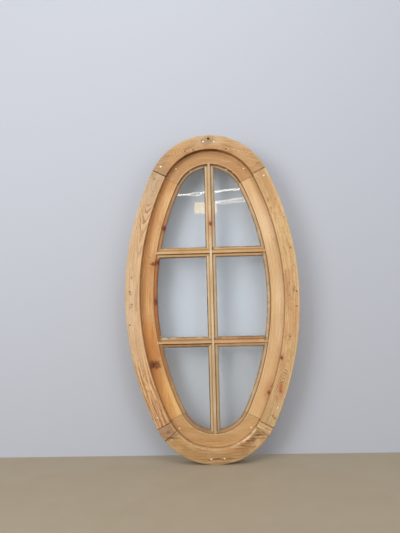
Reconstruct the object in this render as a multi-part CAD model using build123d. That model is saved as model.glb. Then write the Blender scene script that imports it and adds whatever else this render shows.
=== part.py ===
from build123d import *

import os
from math import atan2, cos, degrees, radians, sin, sqrt

# Oval oculus window in pine: an outer ring of four curved members and two let-in blocks, with a
# fixed sash of six panes in a rebate behind the ring's front lip.
# X runs to the right, Z up and Y into the wall, so the front faces -Y. The origin is the middle of
# the oval, at half the ring's thickness. All sizes are in millimetres.

# Outline: a four-centre oval, two end arcs and two flatter side arcs
half_width = 325.0
half_height = 612.0
end_radius = 240.0

# Ring section
ring_thickness = 58.0
ring_face = 54.0
lip_thickness = 24.0
rebate_width = 14.0
outer_arris = 3.0
inner_arris = 1.6
back_arris = 1.5

# Ring joints, each square to the ring at an angle above or below the end arc's centre
ring_joint_angle = 27.5
ring_joint_gap = 0.8
head_left_gape = 2.2
foot_block_left = 50.0
foot_block_right = 34.0
tongue_thickness = 14.0
tongue_cover = 11.0
tongue_reach = 46.0
tongue_fit = 0.15

# Ring pegs and plugs
peg_radius = 4.3
peg_inset = 20.0
peg_fit = 0.1
head_peg_offset = 27.0
jamb_peg_offset_top = 26.0
jamb_peg_offset_foot = 38.0
peg_past_left_block = 7.0
peg_in_right_block = 20.0
plug_radius = 4.0
plug_depth = 12.0
head_plug_left = -18.5
head_plug_right = 21.5
head_plug_inset = 25.0
foot_plug_left = -17.5
foot_plug_right = 30.5
foot_plug_inset = 21.0
jamb_plug_height = -410.0
jamb_plug_inset = 16.0
hanging_hole_radius = 2.8
hanging_hole_depth = 14.0
hanging_hole_inset = 15.0

# Sash
sash_thickness = 34.0
sash_gap = 1.0
sash_face = 49.5
sash_joint_angle = 26.5
sash_joint_gap = 0.3
sash_back_arris = 1.0
tenon_thickness = 12.0
tenon_cover = 8.0
tenon_reach = 62.0
tenon_fit = 0.15
sash_peg_radius = 3.8
sash_peg_inset = 12.0
sash_peg_offset = 42.0
head_left_sash_peg_offset = 52.0

# Moulding that the sash and the glazing bars share
moulding_width = 14.5
quirk_width = 2.6
quirk_depth = 4.5
ovolo_crown_depth = 2.4
sight_depth = 8.5
ledge_depth = 17.0
ledge_width = 10.0

# Glazing bars
fillet_width = 9.0
bar_offset = 169.2
scribe_gap = 0.2
bar_tenon_length = 22.0
bar_tenon_thickness = 12.0
bar_tenon_depth = 11.0
dowel_radius = 4.0
dowel_length = 64.0
dowel_depth = 14.0
dowel_fit = 0.1

# Glass, putty and sprigs
glass_thickness = 3.0
glass_gap = 1.0
putty_gap = 0.1
putty_bed = 8.0
putty_rim = 1.0
putty_setback = 0.5
sprig_size = 1.4
sprig_length = 11.0
sprig_step = 68.0
sprig_fit = 0.05

# Screws that fix the sash from behind
screw_radius = 2.0
screw_head_radius = 4.0
screw_head_depth = 2.6
screw_bite = 13.0
screw_slot_width = 0.9
screw_slot_depth = 1.1
screw_height = 110.0
screw_angle = 62.0
screw_fit = 0.1

# Sides and ends
LEFT, RIGHT = -1, 1
FOOT, HEAD = -1, 1

# Values that follow from the sizes above
end_centre = half_height - end_radius
side_radius = (half_width**2 + end_centre**2 - end_radius**2) / (2 * (half_width - end_radius))
side_centre = side_radius - half_width
tangent_angle = degrees(atan2(end_centre, side_centre))

ring_front = -ring_thickness / 2
ring_back = ring_thickness / 2
lip_back = ring_front + lip_thickness
body_inset = ring_face - rebate_width

sash_front = lip_back
sash_back = sash_front + sash_thickness
sash_outer_inset = body_inset + sash_gap
face_inset = ring_face + sash_face
sight_inset = face_inset + moulding_width
wall_inset = sight_inset - ledge_width
screw_inset = (sash_outer_inset + ring_face) / 2

fillet_half = fillet_width / 2
bar_half = fillet_half + moulding_width
web_half = bar_half - ledge_width

glass_front = sash_front + ledge_depth
glass_back = glass_front + glass_thickness
putty_back = sash_back - putty_setback

# Size of a half space, width of the window that cuts a band out of a ring, and how far a cut runs
# past the surface that it opens
reach = 4 * half_height
band_window = 2 * (ring_face + sash_face + ring_thickness + sash_thickness)
overrun = 1.0

block_widths = {LEFT: foot_block_left, RIGHT: foot_block_right}
side_names = {LEFT: "left", RIGHT: "right"}
end_names = {FOOT: "foot", HEAD: "head"}
row_names = {1: "upper", 0: "middle", -1: "lower"}


def oval_arcs():
    """Centre x, centre z, radius, start angle and sweep of the outline's four arcs."""
    side_sweep = 2 * tangent_angle
    end_sweep = 180 - side_sweep
    return [
        (0, end_centre, end_radius, tangent_angle, end_sweep),
        (side_centre, 0, side_radius, 180 - tangent_angle, side_sweep),
        (0, -end_centre, end_radius, 180 + tangent_angle, end_sweep),
        (-side_centre, 0, side_radius, -tangent_angle, side_sweep),
    ]


def oval_face(inset):
    """Face bounded by the oval, its edge moved inwards by the inset."""
    return make_face(
        [CenterArc((x, z), radius - inset, start, sweep) for x, z, radius, start, sweep in oval_arcs()]
    )


def sweep_round(section):
    """Carry a section round the whole oval. In it, x is minus the inset and y is the depth."""
    body = Part()
    for x, z, radius, start, sweep in oval_arcs():
        placed = Pos(x, 0, z) * Rot(0, -start, 0) * Pos(radius, 0, 0) * section
        body += revolve(placed, Axis((x, 0, z), (0, -1, 0)), sweep)
    return body


def at_depth(face, depth):
    """Stand a face drawn in x and z upright at a depth."""
    return Plane((0, depth, 0), x_dir=(1, 0, 0), z_dir=(0, -1, 0)) * face


def plate(face, front, back):
    """Solid between two depths, from a face drawn in x and z."""
    return extrude(at_depth(face, back), amount=back - front)


def block_between(low, high):
    """Box between two opposite corners."""
    sizes = [b - a for a, b in zip(low, high)]
    middle = [(a + b) / 2 for a, b in zip(low, high)]
    return Pos(*middle) * Box(*sizes)


def rod(x, z, radius, front, back):
    """Round rod along Y between two depths."""
    turned = Rot(90, 0, 0) * Cylinder(radius, back - front)
    return Pos(x, (front + back) / 2, z) * turned


def round_corner(section, corner, radius):
    """Round the corner of a section that lies nearest to a point."""
    nearest = section.vertices().sort_by_distance((corner[0], corner[1], 0))[0]
    return fillet(nearest, radius)


def largest(shape):
    """Largest solid of a shape: a cut leaves the crumbs that a chisel would take away."""
    return max(shape.solids(), key=lambda solid: solid.volume)


def half_width_at(inset, height):
    """Half the oval's width at a height, with its edge moved inwards by the inset."""
    if abs(height) <= (side_radius - inset) * sin(radians(tangent_angle)):
        return sqrt((side_radius - inset) ** 2 - height**2) - side_centre
    return sqrt((end_radius - inset) ** 2 - (abs(height) - end_centre) ** 2)


def end_height_at(inset, x):
    """Height of the end arc at a distance from the middle, its edge moved inwards by the inset."""
    return end_centre + sqrt((end_radius - inset) ** 2 - x**2)


def point_past_joint(side, end, inset, past, joint_angle):
    """Point at an inset, a distance past a joint towards the head or foot, or back down the jamb."""
    end_r = end_radius - inset
    side_r = side_radius - inset
    to_tangent = radians(joint_angle - tangent_angle) * end_r
    if past >= -to_tangent:
        angle = radians(joint_angle) + past / end_r
        x, z = end_r * cos(angle), end_centre + end_r * sin(angle)
    else:
        angle = radians(tangent_angle) + (past + to_tangent) / side_r
        x, z = side_r * cos(angle) - side_centre, side_r * sin(angle)
    return side * x, end * z


def joint_plane(side, end, joint_angle, past=0.0, gape=0.0):
    """Plane of a joint, its z axis towards the head or foot, hinged open at the outline by the gape."""
    angle = radians(joint_angle)
    turned = radians(joint_angle - gape)
    hinge = Vector(side * cos(angle), 0, end * sin(angle)) * end_radius + Vector(0, 0, end * end_centre)
    normal = Vector(-side * sin(turned), 0, end * cos(turned))
    outward = Vector(side * cos(turned), 0, end * sin(turned))
    return Plane(hinge + normal * past, x_dir=outward, z_dir=normal)


def beyond(plane):
    """Everything on the far side of a plane."""
    return plane * Pos(0, 0, reach / 2) * Box(reach, reach, reach)


def half_space(side):
    """Everything to the left or right of the middle."""
    return Pos(side * reach / 2, 0, 0) * Box(reach, reach, reach)


def joint_band(side, end, joint_angle, insets, depths, before, past):
    """Curved band that crosses a joint, between two insets and two depths."""
    ring = plate(oval_face(insets[0]) - oval_face(insets[1]), depths[0], depths[1])
    middle = Pos(0, 0, (past - before) / 2)
    window = Box(band_window, band_window, past + before)
    return ring & (joint_plane(side, end, joint_angle) * middle * window)


def ring_section():
    """Ring section: front lip, rebate behind it and rounded arrises."""
    outline = Polyline(
        (0, ring_front),
        (-ring_face, ring_front),
        (-ring_face, lip_back),
        (-body_inset, lip_back),
        (-body_inset, ring_back),
        (0, ring_back),
        close=True,
    )
    section = make_face(outline)
    section = round_corner(section, (0, ring_front), outer_arris)
    section = round_corner(section, (-ring_face, ring_front), inner_arris)
    return round_corner(section, (0, ring_back), back_arris)


def moulding_edges(edge, inward):
    """Quirk, ovolo, sight edge, glazing ledge and rebate wall, from the flat face's edge to the back."""
    quirk = edge + inward * quirk_width
    sight = edge + inward * moulding_width
    wall = sight - inward * ledge_width
    quirk_floor = sash_front + quirk_depth
    crown = ((quirk + sight) / 2, sash_front + ovolo_crown_depth)
    sight_front = sash_front + sight_depth
    return [
        Line((edge, sash_front), (edge, quirk_floor)),
        Line((edge, quirk_floor), (quirk, quirk_floor)),
        ThreePointArc((quirk, quirk_floor), crown, (sight, sight_front)),
        Line((sight, sight_front), (sight, glass_front)),
        Line((sight, glass_front), (wall, glass_front)),
        Line((wall, glass_front), (wall, sash_back)),
    ]


def sash_section():
    """Sash section: flat face, moulding and glazing rebate."""
    edges = moulding_edges(-face_inset, -1) + [
        Line((-wall_inset, sash_back), (-sash_outer_inset, sash_back)),
        Line((-sash_outer_inset, sash_back), (-sash_outer_inset, sash_front)),
        Line((-sash_outer_inset, sash_front), (-face_inset, sash_front)),
    ]
    return round_corner(make_face(edges), (-sash_outer_inset, sash_back), sash_back_arris)


def bar_section():
    """Glazing bar section: fillet between two mouldings, and the web between the panes."""
    edges = moulding_edges(fillet_half, 1) + moulding_edges(-fillet_half, -1)
    edges += [
        Line((-fillet_half, sash_front), (fillet_half, sash_front)),
        Line((-web_half, sash_back), (web_half, sash_back)),
    ]
    return make_face(edges)


def ring_peg_places():
    """Side, end and distance past the joint of each peg through the ring's joints."""
    past = {
        (LEFT, HEAD): head_peg_offset,
        (RIGHT, HEAD): head_peg_offset,
        (LEFT, FOOT): foot_block_left + peg_past_left_block,
        (RIGHT, FOOT): peg_in_right_block,
    }
    before = {HEAD: jamb_peg_offset_top, FOOT: jamb_peg_offset_foot}
    for (side, end), offset in past.items():
        yield side, end, offset
        yield side, end, -before[end]


def ring_pegs(radius):
    """Pegs right through the ring, two to a joint."""
    pegs = []
    for side, end, past in ring_peg_places():
        x, z = point_past_joint(side, end, peg_inset, past, ring_joint_angle)
        pegs.append(rod(x, z, radius, ring_front, ring_back))
    return pegs


def plug_places():
    """Places of the plugged holes in head, foot and right jamb."""
    places = [(x, end_height_at(head_plug_inset, x)) for x in (head_plug_left, head_plug_right)]
    places += [(x, -end_height_at(foot_plug_inset, x)) for x in (foot_plug_left, foot_plug_right)]
    places.append((half_width_at(jamb_plug_inset, jamb_plug_height), jamb_plug_height))
    return places


def plugs(radius):
    """Short plugs that fill old screw holes in the ring's face."""
    return [rod(x, z, radius, ring_front, ring_front + plug_depth) for x, z in plug_places()]


def tongue(side, end, fit=0.0):
    """Loose tongue across one ring joint, following the ring's curve."""
    insets = (tongue_cover - fit, body_inset - tongue_cover + fit)
    depths = (-tongue_thickness / 2 - fit, tongue_thickness / 2 + fit)
    past = tongue_reach + (block_widths[side] if end == FOOT else 0)
    return joint_band(side, end, ring_joint_angle, insets, depths, tongue_reach + fit, past + fit)


def screw(x, z, fit=0.0):
    """Countersunk screw from the sash's back into the ring's lip."""
    tip = sash_front - screw_bite - fit
    shank = rod(x, z, screw_radius + fit, tip, sash_back)
    head = Rot(90, 0, 0) * Cone(screw_head_radius + fit, screw_radius + fit, screw_head_depth)
    return shank + Pos(x, sash_back - screw_head_depth / 2, z) * head


def screw_places():
    """Places of the screws round the sash's rim."""
    places = []
    for side in (LEFT, RIGHT):
        for end in (FOOT, HEAD):
            height = end * screw_height
            places.append((side * half_width_at(screw_inset, height), height))
            radius = end_radius - screw_inset
            angle = radians(screw_angle)
            places.append((side * radius * cos(angle), end * (end_centre + radius * sin(angle))))
    return places


def slotted_screws():
    """The screws, each with its driver slot."""
    slot_length = 2 * (screw_head_radius + overrun)
    slot_size = (slot_length, 2 * screw_slot_depth, screw_slot_width)
    return [screw(x, z) - Pos(x, sash_back, z) * Box(*slot_size) for x, z in screw_places()]


def ring_members():
    """The ring's four curved members and the two blocks let in at the foot."""
    ring = sweep_round(ring_section())
    cutters = [tongue(side, end, tongue_fit) for side in (LEFT, RIGHT) for end in (FOOT, HEAD)]
    cutters += ring_pegs(peg_radius + peg_fit)
    cutters += plugs(plug_radius + peg_fit)
    cutters += [screw(x, z, screw_fit) for x, z in screw_places()]
    hole_z = end_height_at(hanging_hole_inset, 0)
    cutters.append(rod(0, hole_z, hanging_hole_radius, ring_front, ring_front + hanging_hole_depth))
    ring = ring - cutters

    half_gap = ring_joint_gap / 2
    members = {}
    head_cuts = [
        joint_plane(LEFT, HEAD, ring_joint_angle, half_gap, head_left_gape),
        joint_plane(RIGHT, HEAD, ring_joint_angle, half_gap),
    ]
    members["frame_head"] = ring & beyond(head_cuts[0]) & beyond(head_cuts[1])
    foot_cuts = [
        joint_plane(side, FOOT, ring_joint_angle, block_widths[side] + half_gap)
        for side in (LEFT, RIGHT)
    ]
    members["frame_foot"] = ring & beyond(foot_cuts[0]) & beyond(foot_cuts[1])
    for side in (LEFT, RIGHT):
        jamb = ring & half_space(side)
        for end in (FOOT, HEAD):
            jamb -= beyond(joint_plane(side, end, ring_joint_angle, -half_gap))
        members["frame_jamb_" + side_names[side]] = jamb
        near = beyond(joint_plane(side, FOOT, ring_joint_angle, half_gap))
        far = beyond(joint_plane(side, FOOT, ring_joint_angle, block_widths[side] - half_gap))
        members["foot_block_" + side_names[side]] = (ring & half_space(side) & near) - far
    return members


def bar_tenon_box(side, end, fit=0.0):
    """Tenon at an end of a glazing bar. End 0 is the vertical bar's, where the side is up or down."""
    front = sash_front + bar_tenon_depth - fit
    back = sash_front + bar_tenon_depth + bar_tenon_thickness + fit
    half = fillet_half + fit
    if end == 0:
        root = half_height - sight_inset - fillet_width
        tip = half_height - face_inset + bar_tenon_length + fit
        low, high = sorted((side * root, side * tip))
        return block_between((-half, front, low), (half, back, high))
    height = end * bar_offset
    root = half_width_at(sight_inset, height) - fillet_width
    tip = half_width_at(face_inset, height) + bar_tenon_length + fit
    low, high = sorted((side * root, side * tip))
    return block_between((low, front, height - half), (high, back, height + half))


def bar_ends():
    """Side and end of every tenoned end of the glazing bars."""
    return [(side, end) for side in (LEFT, RIGHT) for end in (-1, 0, 1)]


def sash_tenon(side, end, fit=0.0):
    """Tenon of a stile, running past the joint into the sash's head or foot."""
    insets = (sash_outer_inset + tenon_cover - fit, face_inset - tenon_cover + fit)
    middle = sash_front + sash_thickness / 2
    depths = (middle - tenon_thickness / 2 - fit, middle + tenon_thickness / 2 + fit)
    return joint_band(side, end, sash_joint_angle, insets, depths, tenon_cover, tenon_reach + fit)


def sash_pegs(radius):
    """Pegs through the tenons of the sash, with their side and end."""
    pegs = {}
    for side in (LEFT, RIGHT):
        for end in (FOOT, HEAD):
            inset = ring_face + sash_peg_inset
            offset = head_left_sash_peg_offset if (side, end) == (LEFT, HEAD) else sash_peg_offset
            x, z = point_past_joint(side, end, inset, offset, sash_joint_angle)
            pegs[side, end] = rod(x, z, radius, sash_front, sash_back)
    return pegs


def sprig_places():
    """Side, x and height of every sprig: in the vertical bar's web and in the rebate's curved wall."""
    heights = (bar_offset / 2, bar_offset + sprig_step, bar_offset + 3 * sprig_step)
    places = []
    for end in (FOOT, HEAD):
        for height in heights:
            for side in (LEFT, RIGHT):
                places.append((side * web_half, end * height))
                places.append((side * half_width_at(wall_inset, height), end * height))
    return places


def sprigs(fit=0.0):
    """Headless square sprigs, half driven into the wood and lying on the glass."""
    half_length = sprig_length / 2 + fit
    half_size = sprig_size / 2 + fit
    made = []
    for x, z in sprig_places():
        low = (x - half_length, glass_back, z - half_size)
        high = (x + half_length, glass_back + sprig_size + fit, z + half_size)
        made.append(block_between(low, high))
    return made


def sash_members():
    """The sash's head, foot and two stiles, with mortises, tenons and peg holes."""
    sash = sweep_round(sash_section())
    cutters = [bar_tenon_box(side, end, tenon_fit) for side, end in bar_ends()]
    cutters += [screw(x, z, screw_fit) for x, z in screw_places()]
    cutters += sprigs(sprig_fit)
    sash = sash - cutters

    half_gap = sash_joint_gap / 2
    peg_holes = sash_pegs(sash_peg_radius + peg_fit)
    members = {}
    for end in (FOOT, HEAD):
        member = sash
        for side in (LEFT, RIGHT):
            member &= beyond(joint_plane(side, end, sash_joint_angle, half_gap))
        for side in (LEFT, RIGHT):
            member -= sash_tenon(side, end, tenon_fit)
            member -= peg_holes[side, end]
        members["sash_" + end_names[end]] = member
    for side in (LEFT, RIGHT):
        stile = sash & half_space(side)
        for end in (FOOT, HEAD):
            stile -= beyond(joint_plane(side, end, sash_joint_angle, -half_gap))
        for end in (FOOT, HEAD):
            stile += sash_tenon(side, end) - peg_holes[side, end]
        members["sash_stile_" + side_names[side]] = stile
    return members


def bar_blank(length):
    """Moulded bar along Z, centred on the origin."""
    return Pos(0, 0, -length / 2) * extrude(bar_section(), amount=length)


def mitre_zone(side, gap=0.0):
    """Notch that a short bar's mitred end fills in the vertical bar's moulding, at the origin."""
    near = side * (fillet_half - gap)
    far = side * (bar_half - gap)
    beyond_bar = side * 2 * bar_half
    outline = Polyline(
        (near, -fillet_half),
        (far, -bar_half),
        (beyond_bar, -bar_half),
        (beyond_bar, bar_half),
        (far, bar_half),
        (near, fillet_half),
        close=True,
    )
    return plate(make_face(outline), sash_front - overrun, sash_back + overrun)


def dowel(height, radius):
    """Dowel along X through the vertical bar."""
    return Pos(0, sash_front + dowel_depth, height) * (Rot(0, 90, 0) * Cylinder(radius, dowel_length))


def vertical_bar(sash_clearance):
    """Vertical bar through the whole sash, notched where the short bars meet it."""
    bar = Part() + largest(bar_blank(2 * (half_height - ring_face)) - sash_clearance)
    for end in (FOOT, HEAD):
        bar += bar_tenon_box(end, 0)
        height = end * bar_offset
        for side in (LEFT, RIGHT):
            bar -= Pos(0, 0, height) * mitre_zone(side, scribe_gap)
        bar -= dowel(height, dowel_radius + dowel_fit)
    return bar - sprigs(sprig_fit)


def short_bar(side, end, sash_clearance):
    """Short horizontal bar from the vertical bar's mitre to the stile."""
    height = end * bar_offset
    length = half_width_at(ring_face, height)
    blank = Pos(side * length / 2, 0, 0) * (Rot(0, 90, 0) * bar_blank(length))
    low = (-bar_half, sash_front - overrun, -bar_half)
    middle_zone = block_between(low, (bar_half, sash_back + overrun, bar_half))
    bar = (blank - middle_zone) + (blank & mitre_zone(side))
    bar = Part() + largest(Pos(0, 0, height) * bar - sash_clearance)
    bar += bar_tenon_box(side, end)
    return bar - dowel(height, dowel_radius + dowel_fit)


def glazing_bars():
    """The vertical bar, the four short bars and the dowels that tie them."""
    sash_clearance = sweep_round(offset(sash_section(), scribe_gap, kind=Kind.INTERSECTION))
    bars = {"bar_vertical": vertical_bar(sash_clearance)}
    for end in (FOOT, HEAD):
        for side in (LEFT, RIGHT):
            name = "bar_" + row_names[end] + "_" + side_names[side]
            bars[name] = short_bar(side, end, sash_clearance)
    bars["bar_dowels"] = Compound([dowel(end * bar_offset, dowel_radius).solid() for end in (FOOT, HEAD)])
    return bars


def pane_face(side, row, margin):
    """Outline of one light at the glazing rebate, moved inwards by a margin."""
    edge = web_half + margin
    spans = {
        1: (bar_offset + edge, half_height),
        0: (edge - bar_offset, bar_offset - edge),
        -1: (-half_height, -bar_offset - edge),
    }
    low, high = spans[row]
    width = half_width - edge
    area = Pos(side * (edge + width / 2), (low + high) / 2) * Rectangle(width, high - low)
    return oval_face(wall_inset + margin) & area


def pane(side, row):
    """One pane of glass, lying against the glazing ledge."""
    return plate(pane_face(side, row, glass_gap), glass_front, glass_back)


def putty(side, row):
    """Bevelled run of putty round the back of one pane."""
    block = plate(pane_face(side, row, putty_gap), glass_back, putty_back)
    bed = at_depth(pane_face(side, row, putty_gap + putty_bed), glass_back)
    rim = at_depth(pane_face(side, row, putty_gap + putty_rim), putty_back)
    return block - loft([bed, rim], ruled=True) - sprigs(sprig_fit)


def glazing():
    """Panes and putty of the six lights."""
    made = {}
    for row, row_name in row_names.items():
        for side, side_name in side_names.items():
            made["pane_" + row_name + "_" + side_name] = pane(side, row)
            made["putty_" + row_name + "_" + side_name] = putty(side, row)
    return made


def small_pieces():
    """Loose tongues, pegs, plugs, sprigs and screws."""
    made = {}
    for side in (LEFT, RIGHT):
        for end in (FOOT, HEAD):
            name = "tongue_" + end_names[end] + "_" + side_names[side]
            made[name] = tongue(side, end) - ring_pegs(peg_radius + peg_fit)
    made["frame_pegs"] = Compound([peg.solid() for peg in ring_pegs(peg_radius)])
    made["frame_plugs"] = Compound([plug.solid() for plug in plugs(plug_radius)])
    made["sash_pegs"] = Compound([peg.solid() for peg in sash_pegs(sash_peg_radius).values()])
    made["glazing_sprigs"] = Compound([sprig.solid() for sprig in sprigs()])
    made["sash_screws"] = Compound([item.solid() for item in slotted_screws()])
    return made


def main():
    """Build every piece and write it to its own file."""
    os.makedirs("parts", exist_ok=True)
    pieces = {}
    pieces.update(ring_members())
    pieces.update(sash_members())
    pieces.update(glazing_bars())
    pieces.update(glazing())
    pieces.update(small_pieces())
    for name, shape in pieces.items():
        export_step(shape, "parts/" + name + ".step")


main()
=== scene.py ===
"""Oval oculus window in stripped pine: ring, moulded sash, glazing bars, old glass and putty.

Sizes are millimetres in the frame that is loaded first: X to the right, Z up and Y into the wall,
with the front facing -Y. Meshes and lamps are in metres. A colour of three numbers is written as
it is seen, from 0 to 255 a channel.
"""

import logging
from collections.abc import Callable, Iterator, Sequence
from dataclasses import dataclass
from enum import Enum
from itertools import product
from math import acos, asin, atan2, cos, degrees, radians, sin
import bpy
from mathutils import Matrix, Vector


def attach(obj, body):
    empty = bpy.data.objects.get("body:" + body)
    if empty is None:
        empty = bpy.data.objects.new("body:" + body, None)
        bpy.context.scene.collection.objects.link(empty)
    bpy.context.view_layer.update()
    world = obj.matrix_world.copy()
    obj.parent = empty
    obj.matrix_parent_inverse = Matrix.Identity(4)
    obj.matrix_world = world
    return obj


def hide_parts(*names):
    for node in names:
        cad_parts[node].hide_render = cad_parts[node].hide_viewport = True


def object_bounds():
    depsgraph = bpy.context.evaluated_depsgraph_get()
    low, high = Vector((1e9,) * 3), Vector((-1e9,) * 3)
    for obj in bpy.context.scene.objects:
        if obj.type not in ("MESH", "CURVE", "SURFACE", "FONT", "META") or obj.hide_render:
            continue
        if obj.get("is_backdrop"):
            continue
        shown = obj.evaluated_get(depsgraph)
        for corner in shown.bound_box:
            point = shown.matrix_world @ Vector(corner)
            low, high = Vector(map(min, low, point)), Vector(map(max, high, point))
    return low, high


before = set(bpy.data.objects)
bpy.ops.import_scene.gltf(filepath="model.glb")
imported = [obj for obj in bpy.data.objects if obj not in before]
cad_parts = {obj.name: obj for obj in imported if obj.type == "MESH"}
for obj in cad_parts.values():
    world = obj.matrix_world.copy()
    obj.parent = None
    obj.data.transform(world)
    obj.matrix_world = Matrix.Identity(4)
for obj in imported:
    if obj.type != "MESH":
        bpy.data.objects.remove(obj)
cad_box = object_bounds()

from types import SimpleNamespace

import bmesh
import bpy
import numpy as np
from mathutils import Vector

LOG = logging.getLogger("oculus")
MM = 0.001
SHARP_CORNER = radians(35)

Seen = tuple[float, float, float]
Colour = tuple[float, float, float, float]
Span = tuple[float, float]
Grid = tuple[np.ndarray, np.ndarray]
Value = object  # a wire, a number, a colour or a tuple of three of them


def linear(seen: Seen, factors: Seen = (1.0, 1.0, 1.0)) -> Colour:
    """Linear light of a colour as it is seen, each channel times its factor and at most 1.

    Args:
        seen: Red, green and blue from 0 to 255.
        factors: Factor of each channel's light.

    Returns:
        Linear red, green, blue and an alpha of 1.
    """
    share = np.array(seen) / 255.0
    light = np.where(share <= 0.04045, share / 12.92, ((share + 0.055) / 1.055) ** 2.4)
    return (*np.minimum(light * factors, 1.0).tolist(), 1.0)


@dataclass(frozen=True)
class Oval:
    """Four-centre oval: two end arcs and two flatter side arcs that meet smoothly.

    A place on it is given by its turn, the direction that the edge faces, in degrees from the
    right and counterclockwise, and by its inset, the distance inwards from the outline.
    """

    half_width: float = 325.0
    half_height: float = 612.0
    end_radius: float = 240.0

    @property
    def end_centre(self) -> float:
        """Height of the end arcs' centres above and below the middle."""
        return self.half_height - self.end_radius

    @property
    def side_radius(self) -> float:
        """Radius of the side arcs."""
        rise = self.half_width**2 + self.end_centre**2 - self.end_radius**2
        return rise / (2 * (self.half_width - self.end_radius))

    @property
    def side_centre(self) -> float:
        """Distance of the side arcs' centres from the middle."""
        return self.side_radius - self.half_width

    @property
    def tangent(self) -> float:
        """Turn in degrees at which the side arc meets the end arc."""
        return degrees(atan2(self.end_centre, self.side_centre))

    def run_at(self, turn: float) -> float:
        """Length of the outline from the level axis up to a turn on the end arc."""
        start = (self.side_radius - self.end_radius) * radians(self.tangent)
        return start + self.end_radius * radians(turn)

    def arc(self, turns: np.ndarray, inset: float) -> np.ndarray:
        """Points in the right half, from the arc's centre out by its radius less the inset.

        Args:
            turns: Turns in radians, from -90 to 90 degrees.
            inset: Distance inwards from the outline.

        Returns:
            One row of x and z for each turn.
        """
        at_end = np.abs(turns) > radians(self.tangent)
        radius = np.where(at_end, self.end_radius, self.side_radius) - inset
        centre_x = np.where(at_end, 0.0, -self.side_centre)
        centre_z = np.where(at_end, np.sign(turns) * self.end_centre, 0.0)
        return np.stack([centre_x + radius * np.cos(turns), centre_z + radius * np.sin(turns)], axis=1)

    def past_joint(self, joint: float, past: float, inset: float) -> Span:
        """Place in the upper right quarter, a distance past a joint's turn towards the top.

        Args:
            joint: Turn of the joint in degrees.
            past: Distance along the arc at the inset.
            inset: Distance inwards from the outline.

        Returns:
            x and z of the place.
        """
        radius = self.end_radius - inset
        turn = radians(joint) + past / radius
        if degrees(turn) < self.tangent:
            tangent = radians(self.tangent)
            turn = tangent + (turn - tangent) * radius / (self.side_radius - inset)
        x, z = self.arc(np.array([turn]), inset)[0]
        return float(x), float(z)


OVAL = Oval()


@dataclass(frozen=True)
class Wire:
    """What a node puts out. Arithmetic with it adds Math nodes to its tree."""

    wiring: "Wiring"
    socket: bpy.types.NodeSocket

    def __add__(self, other: Value) -> "Wire":
        """Sum."""
        return self.wiring.math("ADD", self, other)

    def __sub__(self, other: Value) -> "Wire":
        """Difference."""
        return self.wiring.math("SUBTRACT", self, other)

    def __rsub__(self, other: Value) -> "Wire":
        """Difference from a number."""
        return self.wiring.math("SUBTRACT", other, self)

    def __mul__(self, other: Value) -> "Wire":
        """Product."""
        return self.wiring.math("MULTIPLY", self, other)

    def __truediv__(self, other: Value) -> "Wire":
        """Quotient."""
        return self.wiring.math("DIVIDE", self, other)

    def __rtruediv__(self, other: Value) -> "Wire":
        """Number over the value."""
        return self.wiring.math("DIVIDE", other, self)

    def __abs__(self) -> "Wire":
        """Value without its sign."""
        return self.wiring.math("ABSOLUTE", self)

    __radd__ = __add__


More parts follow.
